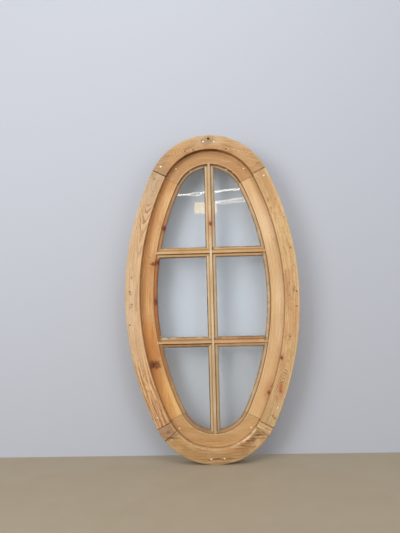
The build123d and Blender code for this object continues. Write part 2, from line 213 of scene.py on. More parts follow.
@dataclass
class Wiring:
    """Adds nodes to one node tree and links them, so that a surface reads like a formula."""

    tree: bpy.types.NodeTree

    def feed(self, socket: bpy.types.NodeSocket, value: Value) -> None:
        """Link a socket to a wire or to a vector of three values, or set it to a constant."""
        if isinstance(value, tuple) and any(isinstance(part, Wire) for part in value):
            value = self.get("CombineXYZ", dict(enumerate(value)))
        if isinstance(value, Wire):
            self.tree.links.new(value.socket, socket)
        else:
            socket.default_value = value

    def add(
        self, kind: str, inputs: dict[str | int, Value] | None = None, **settings: Value
    ) -> bpy.types.Node:
        """Add a shader node.

        Args:
            kind: Node type without its ShaderNode prefix.
            inputs: Values of its sockets, by name or number.
            settings: Its properties by name.

        Returns:
            The new node.
        """
        node = self.tree.nodes.new("ShaderNode" + kind)
        for name, value in settings.items():
            setattr(node, name, value)
        for key, value in (inputs or {}).items():
            self.feed(node.inputs[key], value)
        return node

    def get(
        self, kind: str, inputs: dict[str | int, Value] | None = None, output: str | int = 0,
        **settings: Value,
    ) -> Wire:
        """Add a shader node and take one of its outputs."""
        return Wire(self, self.add(kind, inputs, **settings).outputs[output])

    def math(self, operation: str, *values: Value) -> Wire:
        """Work out a Math node's operation on its values."""
        return self.get("Math", dict(enumerate(values)), operation=operation)

    def length(self, first: Wire, second: Wire) -> Wire:
        """Length of two offsets taken together."""
        return self.math("SQRT", first * first + second * second)

    def split(self, vector: Wire) -> tuple[Wire, ...]:
        """The three values of a vector."""
        return tuple(Wire(self, output) for output in self.add("SeparateXYZ", {0: vector}).outputs)

    def millimetres(self) -> Wire:
        """Place on the window in millimetres."""
        place = self.get("TexCoord", output="Object")
        return self.get("VectorMath", {0: place, "Scale": 1 / MM}, operation="SCALE")

    def step(self, value: Value, low: Value, high: Value, to_low: float = 0.0, to_high: float = 1.0) -> Wire:
        """Smooth step of a value.

        Args:
            value: What is stepped.
            low: Value at which the step starts.
            high: Value at which it ends.
            to_low: Result before the step.
            to_high: Result after it.

        Returns:
            The stepped value.
        """
        names = ("Value", "From Min", "From Max", "To Min", "To Max")
        given = dict(zip(names, (value, low, high, to_low, to_high)))
        return self.get("MapRange", given, "Result", interpolation_type="SMOOTHSTEP")

    def fall(self, value: Value, low: Value, high: Value) -> Wire:
        """Smooth step of a value down from 1 to 0."""
        return self.step(value, low, high, 1.0, 0.0)

    def band(self, value: Value, low: float, high: float, soft: float) -> Wire:
        """Mask that is 1 between low and high and fades over the soft width outside them."""
        return self.step(value, low - soft, low) * self.fall(value, high, high + soft)

    def noise(self, place: Value, scale: Value, detail: float = 2.0, roughness: float = 0.5) -> Wire:
        """Smooth noise from about 0.25 to 0.75, by its lumps per unit, finer octaves and their weight."""
        given = {"Vector": place, "Scale": scale, "Detail": detail, "Roughness": roughness}
        return self.get("TexNoise", given)

    def blend(self, factor: Value, first: Value, second: Value) -> Wire:
        """Mix two colours by a factor.

        Args:
            factor: Share of the second colour.
            first: Wire, linear colour or colour as it is seen.
            second: The same.

        Returns:
            The mixed colour.
        """
        first, second = (
            linear(colour) if isinstance(colour, tuple) and len(colour) == 3 else colour
            for colour in (first, second)
        )
        return self.get("Mix", {0: factor, 6: first, 7: second}, 2, data_type="RGBA")

    def between(self, factor: Value, first: Value, second: Value) -> Wire:
        """Mix two values by a factor."""
        return self.get("Mix", {0: factor, 2: first, 3: second}, data_type="FLOAT")

    def use(self, group: bpy.types.NodeTree, **values: Value) -> SimpleNamespace:
        """Place a node group, feed its inputs and hand over its outputs, all by name."""
        node = self.add("Group", {label(name): value for name, value in values.items()}, node_tree=group)
        return SimpleNamespace(**{output.name.lower(): Wire(self, output) for output in node.outputs})


@dataclass
class Surface(Wiring):
    """Wiring of a new material and its Principled shader."""

    material: bpy.types.Material
    shader: bpy.types.Node

    @classmethod
    def start(cls, name: str) -> "Surface":
        """Start a material."""
        material = bpy.data.materials.new(name)
        material.use_nodes = True
        return cls(material.node_tree, material, material.node_tree.nodes["Principled BSDF"])

    def bump(self, height: Wire, strength: float, depth: float, over: Wire | None = None) -> Wire:
        """Normal of a relief with a depth in metres, on its own or over another one."""
        inputs = {"Height": height, "Strength": strength, "Distance": depth}
        return self.get("Bump", inputs | ({"Normal": over} if over else {}), "Normal")

    def finish(self, inputs: dict[str, Value]) -> bpy.types.Material:
        """Feed the shader's sockets by name and hand the material over."""
        for name, value in inputs.items():
            self.feed(self.shader.inputs[name], value)
        return self.material


def label(name: str) -> str:
    """Socket name of a value, such as Pith Across for pith_across."""
    return name.replace("_", " ").title()


def effect(name: str, formula: Callable[..., dict[str, Wire]], **inputs: Value) -> bpy.types.NodeTree:
    """Make a node group out of a formula.

    Args:
        name: What the effect is called.
        formula: Takes the group's wiring and its inputs, and gives its outputs by name.
        inputs: Default of each input by name, where three numbers make a vector.

    Returns:
        The node group, with an input and an output socket for each name.
    """
    tree = bpy.data.node_groups.new(name, "ShaderNodeTree")
    for key, value in inputs.items():
        kind = "NodeSocketVector" if isinstance(value, tuple) else "NodeSocketFloat"
        tree.interface.new_socket(label(key), in_out="INPUT", socket_type=kind).default_value = value
    wiring, entry = Wiring(tree), tree.nodes.new("NodeGroupInput")
    outputs = formula(wiring, **{key: Wire(wiring, entry.outputs[label(key)]) for key in inputs})
    for key in outputs:
        tree.interface.new_socket(label(key), in_out="OUTPUT", socket_type="NodeSocketFloat")
    ending = tree.nodes.new("NodeGroupOutput")
    for key, wire in outputs.items():
        wiring.feed(ending.inputs[label(key)], wire)
    return tree


def oval_place(w: Wiring, place: Wire) -> dict[str, Wire]:
    """Tell where a point lies on the oval: its inset, and its run round from the right.

    The inset is the arc's radius less the distance from the arc's centre, with the side arc's
    centre for a point whose angle about it is under the tangent angle, and the end arc's centre
    for any other. The run is the length of arc up from the level axis.

    Args:
        w: The group's wiring.
        place: Place in millimetres.

    Returns:
        The outputs by name.
    """
    x, _, z = w.split(place)
    side_x, end_z = abs(x) + OVAL.side_centre, abs(z) - OVAL.end_centre
    side_angle, end_angle = w.math("ARCTAN2", abs(z), side_x), w.math("ARCTAN2", end_z, abs(x))
    at_end = w.math("GREATER_THAN", side_angle, radians(OVAL.tangent))
    side_inset = OVAL.side_radius - w.length(side_x, abs(z))
    end_inset = OVAL.end_radius - w.length(abs(x), end_z)
    end_run = end_angle * OVAL.end_radius + OVAL.run_at(0.0)
    return {
        "inset": w.between(at_end, side_inset, end_inset),
        "run": w.between(at_end, side_angle * OVAL.side_radius, end_run),
    }


def pine_grain(
    w: Wiring, across: Wire, deep: Wire, along: Wire, pith_across: Wire, pith_deep: Wire,
    lean_across: Wire, lean_deep: Wire, bow: Wire, bow_at: Wire, bow_length: Wire, ring_width: Wire,
    waver: Wire, swell: Wire, seed: Wire,
) -> dict[str, Wire]:
    """Growth rings of softwood on any cut through it.

    The rings are cylinders round the pith, whose line leans and bows along the board, so that a
    flat face shows nested arches and an edge shows lines. Ring number is distance from the pith,
    swollen by knots and wavered by slow noise, over the ring width. Late wood is the dark end of
    each ring. Streak and fibre are coarse and fine noise drawn out along the grain, fleck is the
    short dark dashes of resin ducts and torn fibres, cloud is broad uneven colour, and speck is a
    sparse scatter of pin marks. The bow moves the pith away from one place along the board on both
    sides, by its full amount times u / (u + L squared), where u is the squared distance from that
    place and L the bow's length, so that the rings close there in nested ovals. Figure is 1 at
    that place and falls to 0 far from it.

    Args:
        w: The group's wiring.
        across, deep, along: Place in the board.
        swell: How far the knots push the rings aside.
        seed: Which part of the noise the board reads, and the others are the board's own sizes.

    Returns:
        The outputs by name.
    """
    between_seeds = 997.0
    shifted = along + seed * between_seeds

    def drawn(share: float) -> tuple[Wire, Wire, Wire]:
        """Place in the board with its length drawn in to a share."""
        return across, deep, shifted * share

    slow = (w.noise(drawn(0.22), 0.016) * 2.0 - 1.0) * waver
    ripple = w.noise(drawn(0.3), 0.09, 1.0) * 2.4 - 1.2
    offset = along - bow_at
    far = offset * offset / (bow_length * bow_length + offset * offset)
    side = lean_across * along + (across - pith_across)
    depth = lean_deep * along + (pith_deep - deep + bow * far)
    number = (w.length(side, depth) + slow + (ripple + swell)) / ring_width
    phase = w.math("FRACT", number)
    year = w.noise((w.math("FLOOR", number), seed, 0.5), 1.7, 0.0)
    dots = w.add("TexVoronoi", {"Vector": drawn(0.6), "Scale": 0.09})
    chance = w.split(Wire(w, dots.outputs["Color"]))[0]
    return {
        "late": w.step(phase, 0.42, 0.84) * w.fall(phase, 0.92, 1.0) * w.step(year, 0.3, 0.62, 0.25, 1.0),
        "streak": w.step(w.noise(drawn(0.05), 0.2, 3.0, 0.6), 0.33, 0.67),
        "fibre": w.step(w.noise(drawn(0.03), 0.9, 3.0, 0.65), 0.3, 0.7),
        "fleck": w.step(w.noise(drawn(0.2), 0.4, 2.0, 0.6), 0.56, 0.7),
        "cloud": w.step(w.noise(drawn(0.3), 0.022, 2.0, 0.55), 0.32, 0.68),
        "speck": w.fall(Wire(w, dots.outputs["Distance"]), 0.07, 0.13) * w.math("GREATER_THAN", chance, 0.72),
        "figure": 1.0 - far,
    }


def knot(
    w: Wiring, place: Wire, at_x: Wire, at_z: Wire, radius: Wire, wide: Wire, grain_tall: Wire
) -> dict[str, Wire]:
    """One knot: how far it pushes the growth rings aside, its heart, its core and the halo round it.

    Distance from the knot is stretched along the grain. The push falls off as a bell curve, and
    so does the halo. The heart is a disc with a ragged edge, Wide times wider than it is high,
    and the core is the dark middle of it, broken up by finer noise.

    Args:
        w: The group's wiring.
        place: Place in millimetres.
        at_x, at_z: The knot's middle.
        radius, wide: Its half height, and how many times wider it is.
        grain_tall: 1 where the grain runs up and 0 where it is level.

    Returns:
        The outputs by name.
    """
    x, _, z = w.split(place)
    dx, dz = (x - at_x) / wide, z - at_z
    drawn = w.length(dx * w.between(grain_tall, 0.5, 1.0), dz * w.between(grain_tall, 1.0, 0.5))
    ratio = drawn / (radius * 2.2)
    bell = w.math("EXPONENT", ratio * ratio * -1.0)
    near = w.length(dx, dz) / radius + (w.noise(place, 0.14, 3.0, 0.65) * 1.8 - 0.9)
    splits = w.step(w.noise(place, 0.5, 2.0, 0.6), 0.38, 0.6, 0.35, 1.0)
    return {
        "swell": bell * (radius * 1.7),
        "heart": w.fall(near, 0.55, 1.2),
        "core": w.fall(near, 0.1, 0.75) * splits,
        "halo": bell,
    }


def hole_mark(w: Wiring, place: Wire, at_x: Wire, at_z: Wire, radius: Wire, wide: Wire) -> dict[str, Wire]:
    """Mark on the front, such as a nail hole: 1 inside its radius, with a soft ragged edge.

    Wide is how many times wider it is than high.

    Args:
        w: The group's wiring.
        place: Place in millimetres.
        at_x, at_z: The mark's middle.
        radius, wide: Its half height, and how many times wider it is.

    Returns:
        The outputs by name.
    """
    x, _, z = w.split(place)
    broad, fine = (w.noise(place, *noise) * 2.4 - 1.2 for noise in ((0.16, 2.0, 0.6), (0.5,)))
    ragged = broad * (radius * 0.7) + (w.length((x - at_x) / wide, z - at_z) + fine)
    return {"mask": w.fall(ragged, radius * 0.6, radius * 1.2)}


def line_of_dirt_and_shade(
    w: Wiring, place: Wire, value: Wire, line: Wire, width: Wire, breaks: Wire
) -> dict[str, Wire]:
    """Dark soft band round a value, broken up by blotchy noise: dirt along joints, and painted shade with
    dirt in the crevice behind the ring's lip.

    Args:
        w: The group's wiring.
        place: Place in millimetres.
        value, line, width: What is compared with the line, the line, and the band's half width.
        breaks: How much of the dark band the noise takes away.

    Returns:
        The outputs by name.
    """
    near = w.fall(abs(value - line) / width, 0.35, 1.0)
    blotch = w.step(w.noise(place, 0.05, 4.0, 0.6), 0.35, 0.62)
    return {"mask": near * ((blotch - 1.0) * breaks + 1.0)}


def weathered(w: Wiring, place: Wire, patch_size: Wire) -> dict[str, Wire]:
    """Uneven ageing of a plain surface: patch is broad blotches and fine is small grain, both 0 to 1."""
    patch, fine = w.noise(place, 1.0 / patch_size, 4.0), w.noise(place, 0.7, 3.0, 0.6)
    return {"patch": w.step(patch, 0.38, 0.62), "fine": w.step(fine, 0.3, 0.7)}


class Effects:
    """The shared effects, each built once."""

    def __init__(self) -> None:
        """Build every effect, with the defaults of its inputs."""
        here = {"place": (0.0, 0.0, 0.0)}
        self.place = effect("Oval place", oval_place, **here)
        self.grain = effect(
            "Pine grain", pine_grain, across=0.0, deep=0.0, along=0.0, pith_across=0.0, pith_deep=60.0,
            lean_across=0.0, lean_deep=0.0, bow=0.0, bow_at=0.0, bow_length=100.0, ring_width=2.4,
            waver=6.0, swell=0.0, seed=0.0,
        )
        mark = here | {"at_x": 0.0, "at_z": 0.0, "radius": 6.0, "wide": 1.0}
        self.knot = effect("Knot", knot, **mark, grain_tall=1.0)
        self.hole = effect("Hole mark", hole_mark, **mark)
        self.grime = effect(
            "Line of grime", line_of_dirt_and_shade, **here, value=0.0, line=0.0, width=2.0, breaks=0.5
        )
        self.weathered = effect("Weathered surface", weathered, **here, patch_size=25.0)


class Grain(Enum):
    """Which way a board's grain runs."""

    UPRIGHT = "upright"
    LEVEL = "level"


class Towards(Enum):
    """Which way along the window an ageing gets stronger."""

    HEAD = "head"
    FOOT = "foot"
    SIDES = "sides"


class Vein(Enum):
    """Which of the grain's values a streaky ageing follows."""

    LATE = "late"
    STREAK = "streak"
    FLECK = "fleck"


UPRIGHT, LEVEL = Grain
HEAD, FOOT, SIDES = Towards
LATE, STREAK, FLECK = Vein


@dataclass(frozen=True)
class Mark:
    """Something small at a place on the front face, such as a knot, a nail hole or a patch of colour.

    Its radius is its half height, and wide how many times wider it is than high.
    """

    x: float
    z: float
    radius: float
    strength: float = 1.0
    wide: float = 1.0
    colour: Seen | None = None

    @property
    def where(self) -> dict[str, float]:
        """Its place and size, by the names that the effects take."""
        return {"at_x": self.x, "at_z": self.z, "radius": self.radius, "wide": self.wide}

    def mask(self, w: Wiring, effects: Effects, place: Wire) -> Wire:
        """Mask of the mark on the face."""
        return w.use(effects.hole, place=place, **self.where).mask


Marks = tuple[Mark, ...]


def marks(*rows: tuple) -> Marks:
    """Marks from rows of x, z, radius, strength, wide and colour."""
    return tuple(Mark(*row) for row in rows)


def residue(*rows: tuple) -> Marks:
    """Specks of old putty, from rows of x, z, radius, strength and wide."""
    return tuple(Mark(*row, colour=(190, 184, 158)) for row in rows)


@dataclass(frozen=True)
class Seam:
    """Joint across a member, at a run of the outline, on the right (1), the left (-1) or both (0).

    Breaks says how much of the dirt in it is gone.
    """

    run: float
    side: int = 0
    breaks: float = 0.4


@dataclass(frozen=True)
class Board:
    """How a member lies in the tree that it was sawn from.

    Follow says how far the grain runs with the ring's curve: 0 for a straight board. Middle is
    the distance of the member's middle from the window's middle, and inset that from the outline.
    Slant turns the grain by degrees counterclockwise.
    """

    grain: Grain
    middle: float
    inset: float = 27.0
    follow: float = 0.0
    slant: float = 0.0
    pith_across: float = 0.0
    pith_deep: float = 60.0
    lean_across: float = 0.0
    lean_deep: float = 0.0
    bow: float = 0.0
    bow_at: float = 0.0
    bow_length: float = 100.0
    ring_width: float = 2.4
    waver: float = 5.0
    seed: float = 0.0
    knots: Marks = ()

    def lay(self, w: Wiring, effects: Effects, place: Wire, inset: Wire, swell: Value) -> SimpleNamespace:
        """Place the grain with this board's values.

        Args:
            w: The material's wiring.
            effects: The shared node groups.
            place: Place in millimetres.
            inset: Distance inwards from the window's outline.
            swell: How far the knots push the growth rings aside.

        Returns:
            The grain's values by name.
        """
        x, y, z = w.split(place)
        if self.slant:
            turn = radians(self.slant)
            x, z = z * sin(turn) + x * cos(turn), z * cos(turn) - x * sin(turn)
        out, along = (x, z) if self.grain is UPRIGHT else (z, x)
        across = w.between(self.follow, abs(out) - self.middle, self.inset - inset)
        own = ("pith_across", "pith_deep", "lean_across", "lean_deep", "bow", "bow_at", "bow_length",
               "ring_width", "waver", "seed")
        values = {name: getattr(self, name) for name in own}
        return w.use(effects.grain, across=across, deep=y, along=along, swell=swell, **values)


@dataclass(frozen=True)
class PineTones:
    """Colours of one batch of stripped pine, worked out from the one it has as a whole.

    Pale, warm and late wood, and torn fibres, are that colour's light times a factor a channel,
    so that darker wood is also redder. The other numbers are strengths.
    """

    seen: Seen
    late: float = 0.5
    figure: float = 0.0
    streak: float = 0.22
    fibre: float = 0.18
    fleck: float = 0.3
    knot: Seen = (126, 72, 42)
    core: Seen = (60, 34, 24)
    halo: Seen = (170, 104, 58)
    # Dark brown of dirt, also used as painted shade in the crevice behind the ring's lip
    grime: Seen = (88, 60, 34)
    roughness: float = 0.62

    def bare_wood(self, w: Wiring, grain: SimpleNamespace) -> Wire:
        """Colour of the sawn wood before age and wear: early wood, streaks, late wood, fibres, flecks.

        Args:
            w: The material's wiring.
            grain: The grain's values by name.

        Returns:
            The colour.
        """
        factors = ((1.28, 1.36, 1.50), (1.12, 1.09, 1.03), (0.61, 0.50, 0.42), (0.46, 0.34, 0.26))
        pale, warm, late, torn = (linear(self.seen, factor) for factor in factors)
        colour = w.blend(grain.cloud, pale, warm)
        colour = w.blend(grain.streak * self.streak, colour, late)
        uneven = grain.cloud * 0.3 + (grain.figure * self.figure + self.late)
        colour = w.blend(grain.late * uneven, colour, late)
        colour = w.blend(grain.fibre * self.fibre, colour, late)
        return w.blend(grain.fleck * self.fleck, colour, torn)


@dataclass(frozen=True)
class Spot:
    """Where a material is asked for its colour: place, distance from the edge line and grain."""

    place: Wire
    x: Wire
    deep: Wire
    z: Wire
    edge: Wire
    grain: SimpleNamespace


@dataclass(frozen=True, kw_only=True)
class Layer:
    """Colour that is kept to a part of a member, by x, depth, z and distance from its edge line.

    A range that is left out has no limits. Depth fades over 1 mm outside its range, and the
    others over the fade width.
    """

    x: Span | None = None
    deep: Span | None = None
    z: Span | None = None
    inset: Span | None = None
    fade: float = 12.0

    def keep(self, w: Wiring, mask: Wire, spot: Spot) -> Wire:
        """Multiply a mask by the masks of the ranges.

        Args:
            w: The material's wiring.
            mask: Mask to be limited.
            spot: Where the colour is asked for.

        Returns:
            The limited mask.
        """
        limits = ((self.x, spot.x, self.fade), (self.deep, spot.deep, 1.0), (self.z, spot.z, self.fade),
                  (self.inset, spot.edge, self.fade))
        for span, value, fade in limits:
            if span is not None:
                mask *= w.band(value, *span, fade)
        return mask


@dataclass(frozen=True)
class Zone(Layer):
    """Where some other colour lies over the wood, by distance from a member's edge line."""

    low: float
    high: float
    soft: float
    colour: Seen
    strength: float = 1.0
    patchy: float = 0.0

    def lay(self, w: Wiring, spot: Spot, colour: Value) -> Wire:
        """Lay the zone's colour over the wood.

        Args:
            w: The material's wiring.
            spot: Where the colour is asked for.
            colour: Colour of the wood so far.

        Returns:
            The colour with the zone.
        """
        mask = w.band(spot.edge, self.low, self.high, self.soft) * self.strength
        if self.patchy:
            patches = w.step(w.noise(spot.place, 0.03, 3.0, 0.6), 0.4, 0.6)
            mask *= patches * self.patchy + (1.0 - self.patchy)
        return w.blend(self.keep(w, mask, spot), colour, self.colour)


@dataclass(frozen=True)
class Ageing(Layer):
    """Darker or greyer wood towards an end, plain where streaky is 0 and in veins where it is 1.

    It rises from its start to its full distance, and falls again from its end on, if it has one.
    """

    towards: Towards
    start: float
    full: float
    colour: Seen
    strength: float
    streaky: float = 0.0
    vein: Vein = STREAK
    end: float | None = None

    def lay(self, w: Wiring, spot: Spot, colour: Value) -> Wire:
        """Lay the ageing's colour over the wood, with arguments and result as a zone's."""
        distance = abs(spot.x) if self.towards is SIDES else spot.z * (1.0 if self.towards is HEAD else -1.0)
        mask = w.step(distance, self.start, self.full)
        if self.end is not None:
            mask *= w.fall(distance, self.end, self.end + self.full - self.start)
        vein = getattr(spot.grain, self.vein.value)
        mask *= vein * self.streaky + (1.0 - self.streaky)
        return w.blend(self.keep(w, mask * self.strength, spot), colour, self.colour)


@dataclass(frozen=True)
class Pine:
    """Finish of one wooden member: its board, its colours and its marks."""

    name: str
    board: Board
    tones: PineTones
    holes: Marks = ()
    stains: Marks = ()
    zones: tuple[Zone, ...] = ()
    ageings: tuple[Ageing, ...] = ()
    patches: Marks = ()
    # Line for painted shade and dirt in the crevice behind the ring's lip, and its strength
    crevice_shade_and_dirt_line: float | None = None
    grime_strength: float = 0.8
    joints: tuple[Seam, ...] = ()
    joint_width: float = 3.4
    centre_line: float | None = None

    def material(self, effects: Effects) -> bpy.types.Material:
        """Wire the finish as a material.

        The edge line is the window's outline, or a bar's own centre line where it has one.

        Args:
            effects: The shared node groups.

        Returns:
            The material, with colour, roughness and relief from its nodes.
        """
        w = Surface.start(self.name)
        place = w.millimetres()
        x, y, z = w.split(place)
        upright = self.board.grain is UPRIGHT
        oval = w.use(effects.place, place=place)
        edge = oval.inset if self.centre_line is None else (x if upright else z) - self.centre_line
        knots = [
            w.use(effects.knot, place=place, grain_tall=float(upright), **mark.where)
            for mark in self.board.knots
        ]
        swell = sum(knot.swell for knot in knots)
        grain = self.board.lay(w, effects, place, oval.inset, swell)
        spot = Spot(place, x, y, z, edge, grain)

        colour: Value = self.tones.bare_wood(w, grain)
        for layer in (*self.ageings, *self.zones):
            colour = layer.lay(w, spot, colour)
        colour = self.lay_knots(w, knots, colour)
        veined = grain.streak * 0.6 + 0.4
        for mark in self.patches:
            mask = mark.mask(w, effects, place) * veined
            colour = w.blend(mask * mark.strength, colour, mark.colour)
        colour = self.lay_dirt_and_shade(w, effects, spot, oval.run, colour)
        pits = [mark.mask(w, effects, place) for mark in self.holes]
        for pit, mark in zip(pits, self.holes):
            colour = w.blend(pit * (0.92 * mark.strength), colour, (52, 34, 22))

        planed = w.bump(w.noise(place, 0.02), 0.5, 0.0030)
        height = grain.fleck * -0.8 + (grain.fibre * -0.35 + grain.late)
        for pit in pits:
            height = pit * -4.0 + height
        return w.finish({
            "Base Color": colour,
            "Specular IOR Level": 0.3,
            "Roughness": grain.fibre * 0.12 + (grain.late * -0.10 + self.tones.roughness),
            "Normal": w.bump(height, 0.55, 0.0005, planed),
        })

    def lay_knots(self, w: Wiring, knots: list[SimpleNamespace], colour: Value) -> Value:
        """Lay the knots' halos, hearts and cores over the wood.

        Args:
            w: The material's wiring.
            knots: Values of each knot by name.
            colour: Colour of the wood so far.

        Returns:
            The colour with the knots.
        """
        tones = self.tones
        layers = (("halo", 0.5, tones.halo), ("heart", 0.85, tones.knot), ("core", 0.9, tones.core))
        for part, share, layer in layers:
            for values, mark in zip(knots, self.board.knots):
                colour = w.blend(getattr(values, part) * (share * mark.strength), colour, layer)
        return colour

    def lay_dirt_and_shade(self, w: Wiring, effects: Effects, spot: Spot, run: Wire, colour: Value) -> Value:
        """Lay painted shade and dirt along the edge line, dirt along the joints, the stains and the pin
        marks.

        Args:
            w: The material's wiring.
            effects: The shared node groups.
            spot: Place, distance from the edge line and grain.
            run: Run round the outline.
            colour: Colour of the wood so far.

        Returns:
            The colour with the dirt.
        """
        dirt = [(run, seam.run, self.joint_width, seam.breaks, 0.8, seam.side) for seam in self.joints]
        # Painted shade with dirt along the crevice line behind the lip
        if self.crevice_shade_and_dirt_line is not None:
            dirt.insert(0, (spot.edge, self.crevice_shade_and_dirt_line, 3.2, 0.45, self.grime_strength, 0))
        for value, line, width, breaks, strength, side in dirt:
            grime = w.use(effects.grime, place=spot.place, value=value, line=line, width=width, breaks=breaks)
            mask = grime.mask * strength
            if side:
                mask *= w.math("GREATER_THAN", spot.x * side, 0.0)
            colour = w.blend(mask, colour, self.tones.grime)
        for mark in self.stains:
            mask = mark.mask(w, effects, spot.place) * (0.5 * mark.strength)
            colour = w.blend(mask, colour, self.tones.grime)
        return w.blend(spot.grain.speck * 0.6, colour, self.tones.grime)


@dataclass(frozen=True)
class PegEnds:
    """End grain of pegs: pale where the peg was cut clean, wood-coloured where it is dull.

    Each peg is a mark at its axis, and a strength of 0 makes it dull. Dirt fills the ring round it.
    """

    name: str
    pegs: Marks
    bright: Seen = (255, 240, 208)
    dull: Seen = (176, 136, 92)
    rim: Seen = (142, 104, 68)

    def material(self, effects: Effects) -> bpy.types.Material:
        """Wire the end grain as a material."""
        w = Surface.start(self.name)
        place = w.millimetres()
        fine = w.use(effects.weathered, place=place, patch_size=3.0).fine
        colour: Value = self.rim
        for peg in self.pegs:
            mask = peg.mask(w, effects, place) * max(peg.strength, 0.6)
            colour = w.blend(mask, colour, self.bright if peg.strength else self.dull)
        return w.finish({
            "Base Color": w.blend(fine * 0.25, colour, self.rim),
            "Roughness": fine * 0.15 + 0.5,
            "Normal": w.bump(fine, 0.4, 0.0003),
        })


@dataclass(frozen=True)
class OldGlass:
    """Old drawn glass: clear and faintly grey. Its waves are in its mesh."""

    name: str = "old glass"
    tint: Seen = (238, 241, 240)

    def material(self, effects: Effects) -> bpy.types.Material:
        """Wire the glass: a faint film of dust in patches is its only roughness, and it has a few seeds."""
        w = Surface.start(self.name)
        place = w.millimetres()
        seeds = w.get("TexVoronoi", {"Vector": place, "Scale": 1.0 / 42.0}, "Distance")
        return w.finish({
            "Base Color": linear(self.tint),
            "IOR": 1.5,
            "Transmission Weight": 1.0,
            "Roughness": w.use(effects.weathered, place=place, patch_size=60.0).patch * 0.012,
            "Normal": w.bump(w.fall(seeds, 0.012, 0.03), 0.25, 0.0003),
        })


@dataclass(frozen=True)
class AgedSurface:
    """Finish of a plain old surface with blotches and fine grain, such as putty or dull steel."""

    name: str
    base: Seen
    blotch: Seen
    grain: Seen
    patch_size: float
    roughness: Span
    metallic: Span | None = None
    relief: float = 0.0006

    def material(self, effects: Effects) -> bpy.types.Material:
        """Wire the surface, where blotches also change its metal and roughness."""
        w = Surface.start(self.name)
        aged = w.use(effects.weathered, place=w.millimetres(), patch_size=self.patch_size)
        metal = {"Metallic": w.between(aged.patch, *self.metallic)} if self.metallic else {}
        return w.finish(metal | {
            "Base Color": w.blend(aged.fine * 0.4, w.blend(aged.patch, self.base, self.blotch), self.grain),
            "Roughness": w.between(aged.patch, *self.roughness),
            "Normal": w.bump(aged.patch * 0.5 + aged.fine, 0.6, self.relief),
        })


Finish = Pine | PegEnds | OldGlass | AgedSurface


def linked(name: str, data: bpy.types.ID) -> bpy.types.Object:
    """New object in the scene."""
    piece = bpy.data.objects.new(name, data)
    bpy.context.scene.collection.objects.link(piece)
    return piece


def closed_piece(name: str, points: np.ndarray, faces: np.ndarray, node: str) -> bpy.types.Object:
    """Make one closed mesh piece that stands for a CAD node.

    Args:
        name: Name of the piece.
        points: One row of x, y and z in millimetres for each vertex.
        faces: One row of four vertex numbers for each face.
        node: CAD node that it replaces.

    Returns:
        The piece at the origin, with doubled points merged, faces outward and smooth shading
        except over sharp corners.
    """
    mesh = bpy.data.meshes.new(name)
    mesh.from_pydata((points * MM).tolist(), [], faces.tolist())
    shell = bmesh.new()
    shell.from_mesh(mesh)
    bmesh.ops.remove_doubles(shell, verts=shell.verts, dist=1e-6)
    bmesh.ops.dissolve_degenerate(shell, edges=shell.edges, dist=1e-7)
    bmesh.ops.recalc_face_normals(shell, faces=shell.faces)
    shell.to_mesh(mesh)
    shell.free()
    mesh.shade_smooth()
    mesh.set_sharp_from_angle(angle=SHARP_CORNER)
    piece = linked(name, mesh)
    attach(piece, "root")
    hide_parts(node)
    return piece


def sine_waves(
    x: np.ndarray, z: np.ndarray, seed: int, lengths: Sequence[float], height: float
) -> np.ndarray:
    """Smooth uneven surface: a sum of plane sine waves, one for each wavelength.

    Args:
        x: Places across.
        z: Places up.
        seed: Which set of directions and phases.
        lengths: Wavelengths, in the same unit as the places.
        height: Height of the longest wave, where a shorter one is lower in proportion.

    Returns:
        Height of the surface at each place.
    """
    chance = np.random.default_rng(seed)
    total = np.zeros_like(x)
    for length in lengths:
        turn, phase = chance.uniform(0.0, np.pi), chance.uniform(0.0, 2 * np.pi)
        way = x * np.cos(turn) * 0.5 + z * (0.6 + 0.4 * np.sin(turn))
        total += height * length / max(lengths) * np.sin(2 * np.pi * way / length + phase)
    return total


@dataclass
class SubAssembly:
    """Part of the window that dresses its pieces and reports them."""

    effects: Effects

    def finish(self, piece: bpy.types.Object, finish: Finish) -> None:
        """Give a piece its material, and use one material for pieces of one finish."""
        material = bpy.data.materials.get(finish.name) or finish.material(self.effects)
        piece.data.materials.clear()
        piece.data.materials.append(material)
        LOG.info("%s: %s", piece.name, finish.name)

    def dress(self, finishes: dict[str, Finish]) -> None:
        """Give CAD nodes their finishes, by the nodes' names."""
        for node, finish in finishes.items():
            self.finish(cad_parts[node], finish)


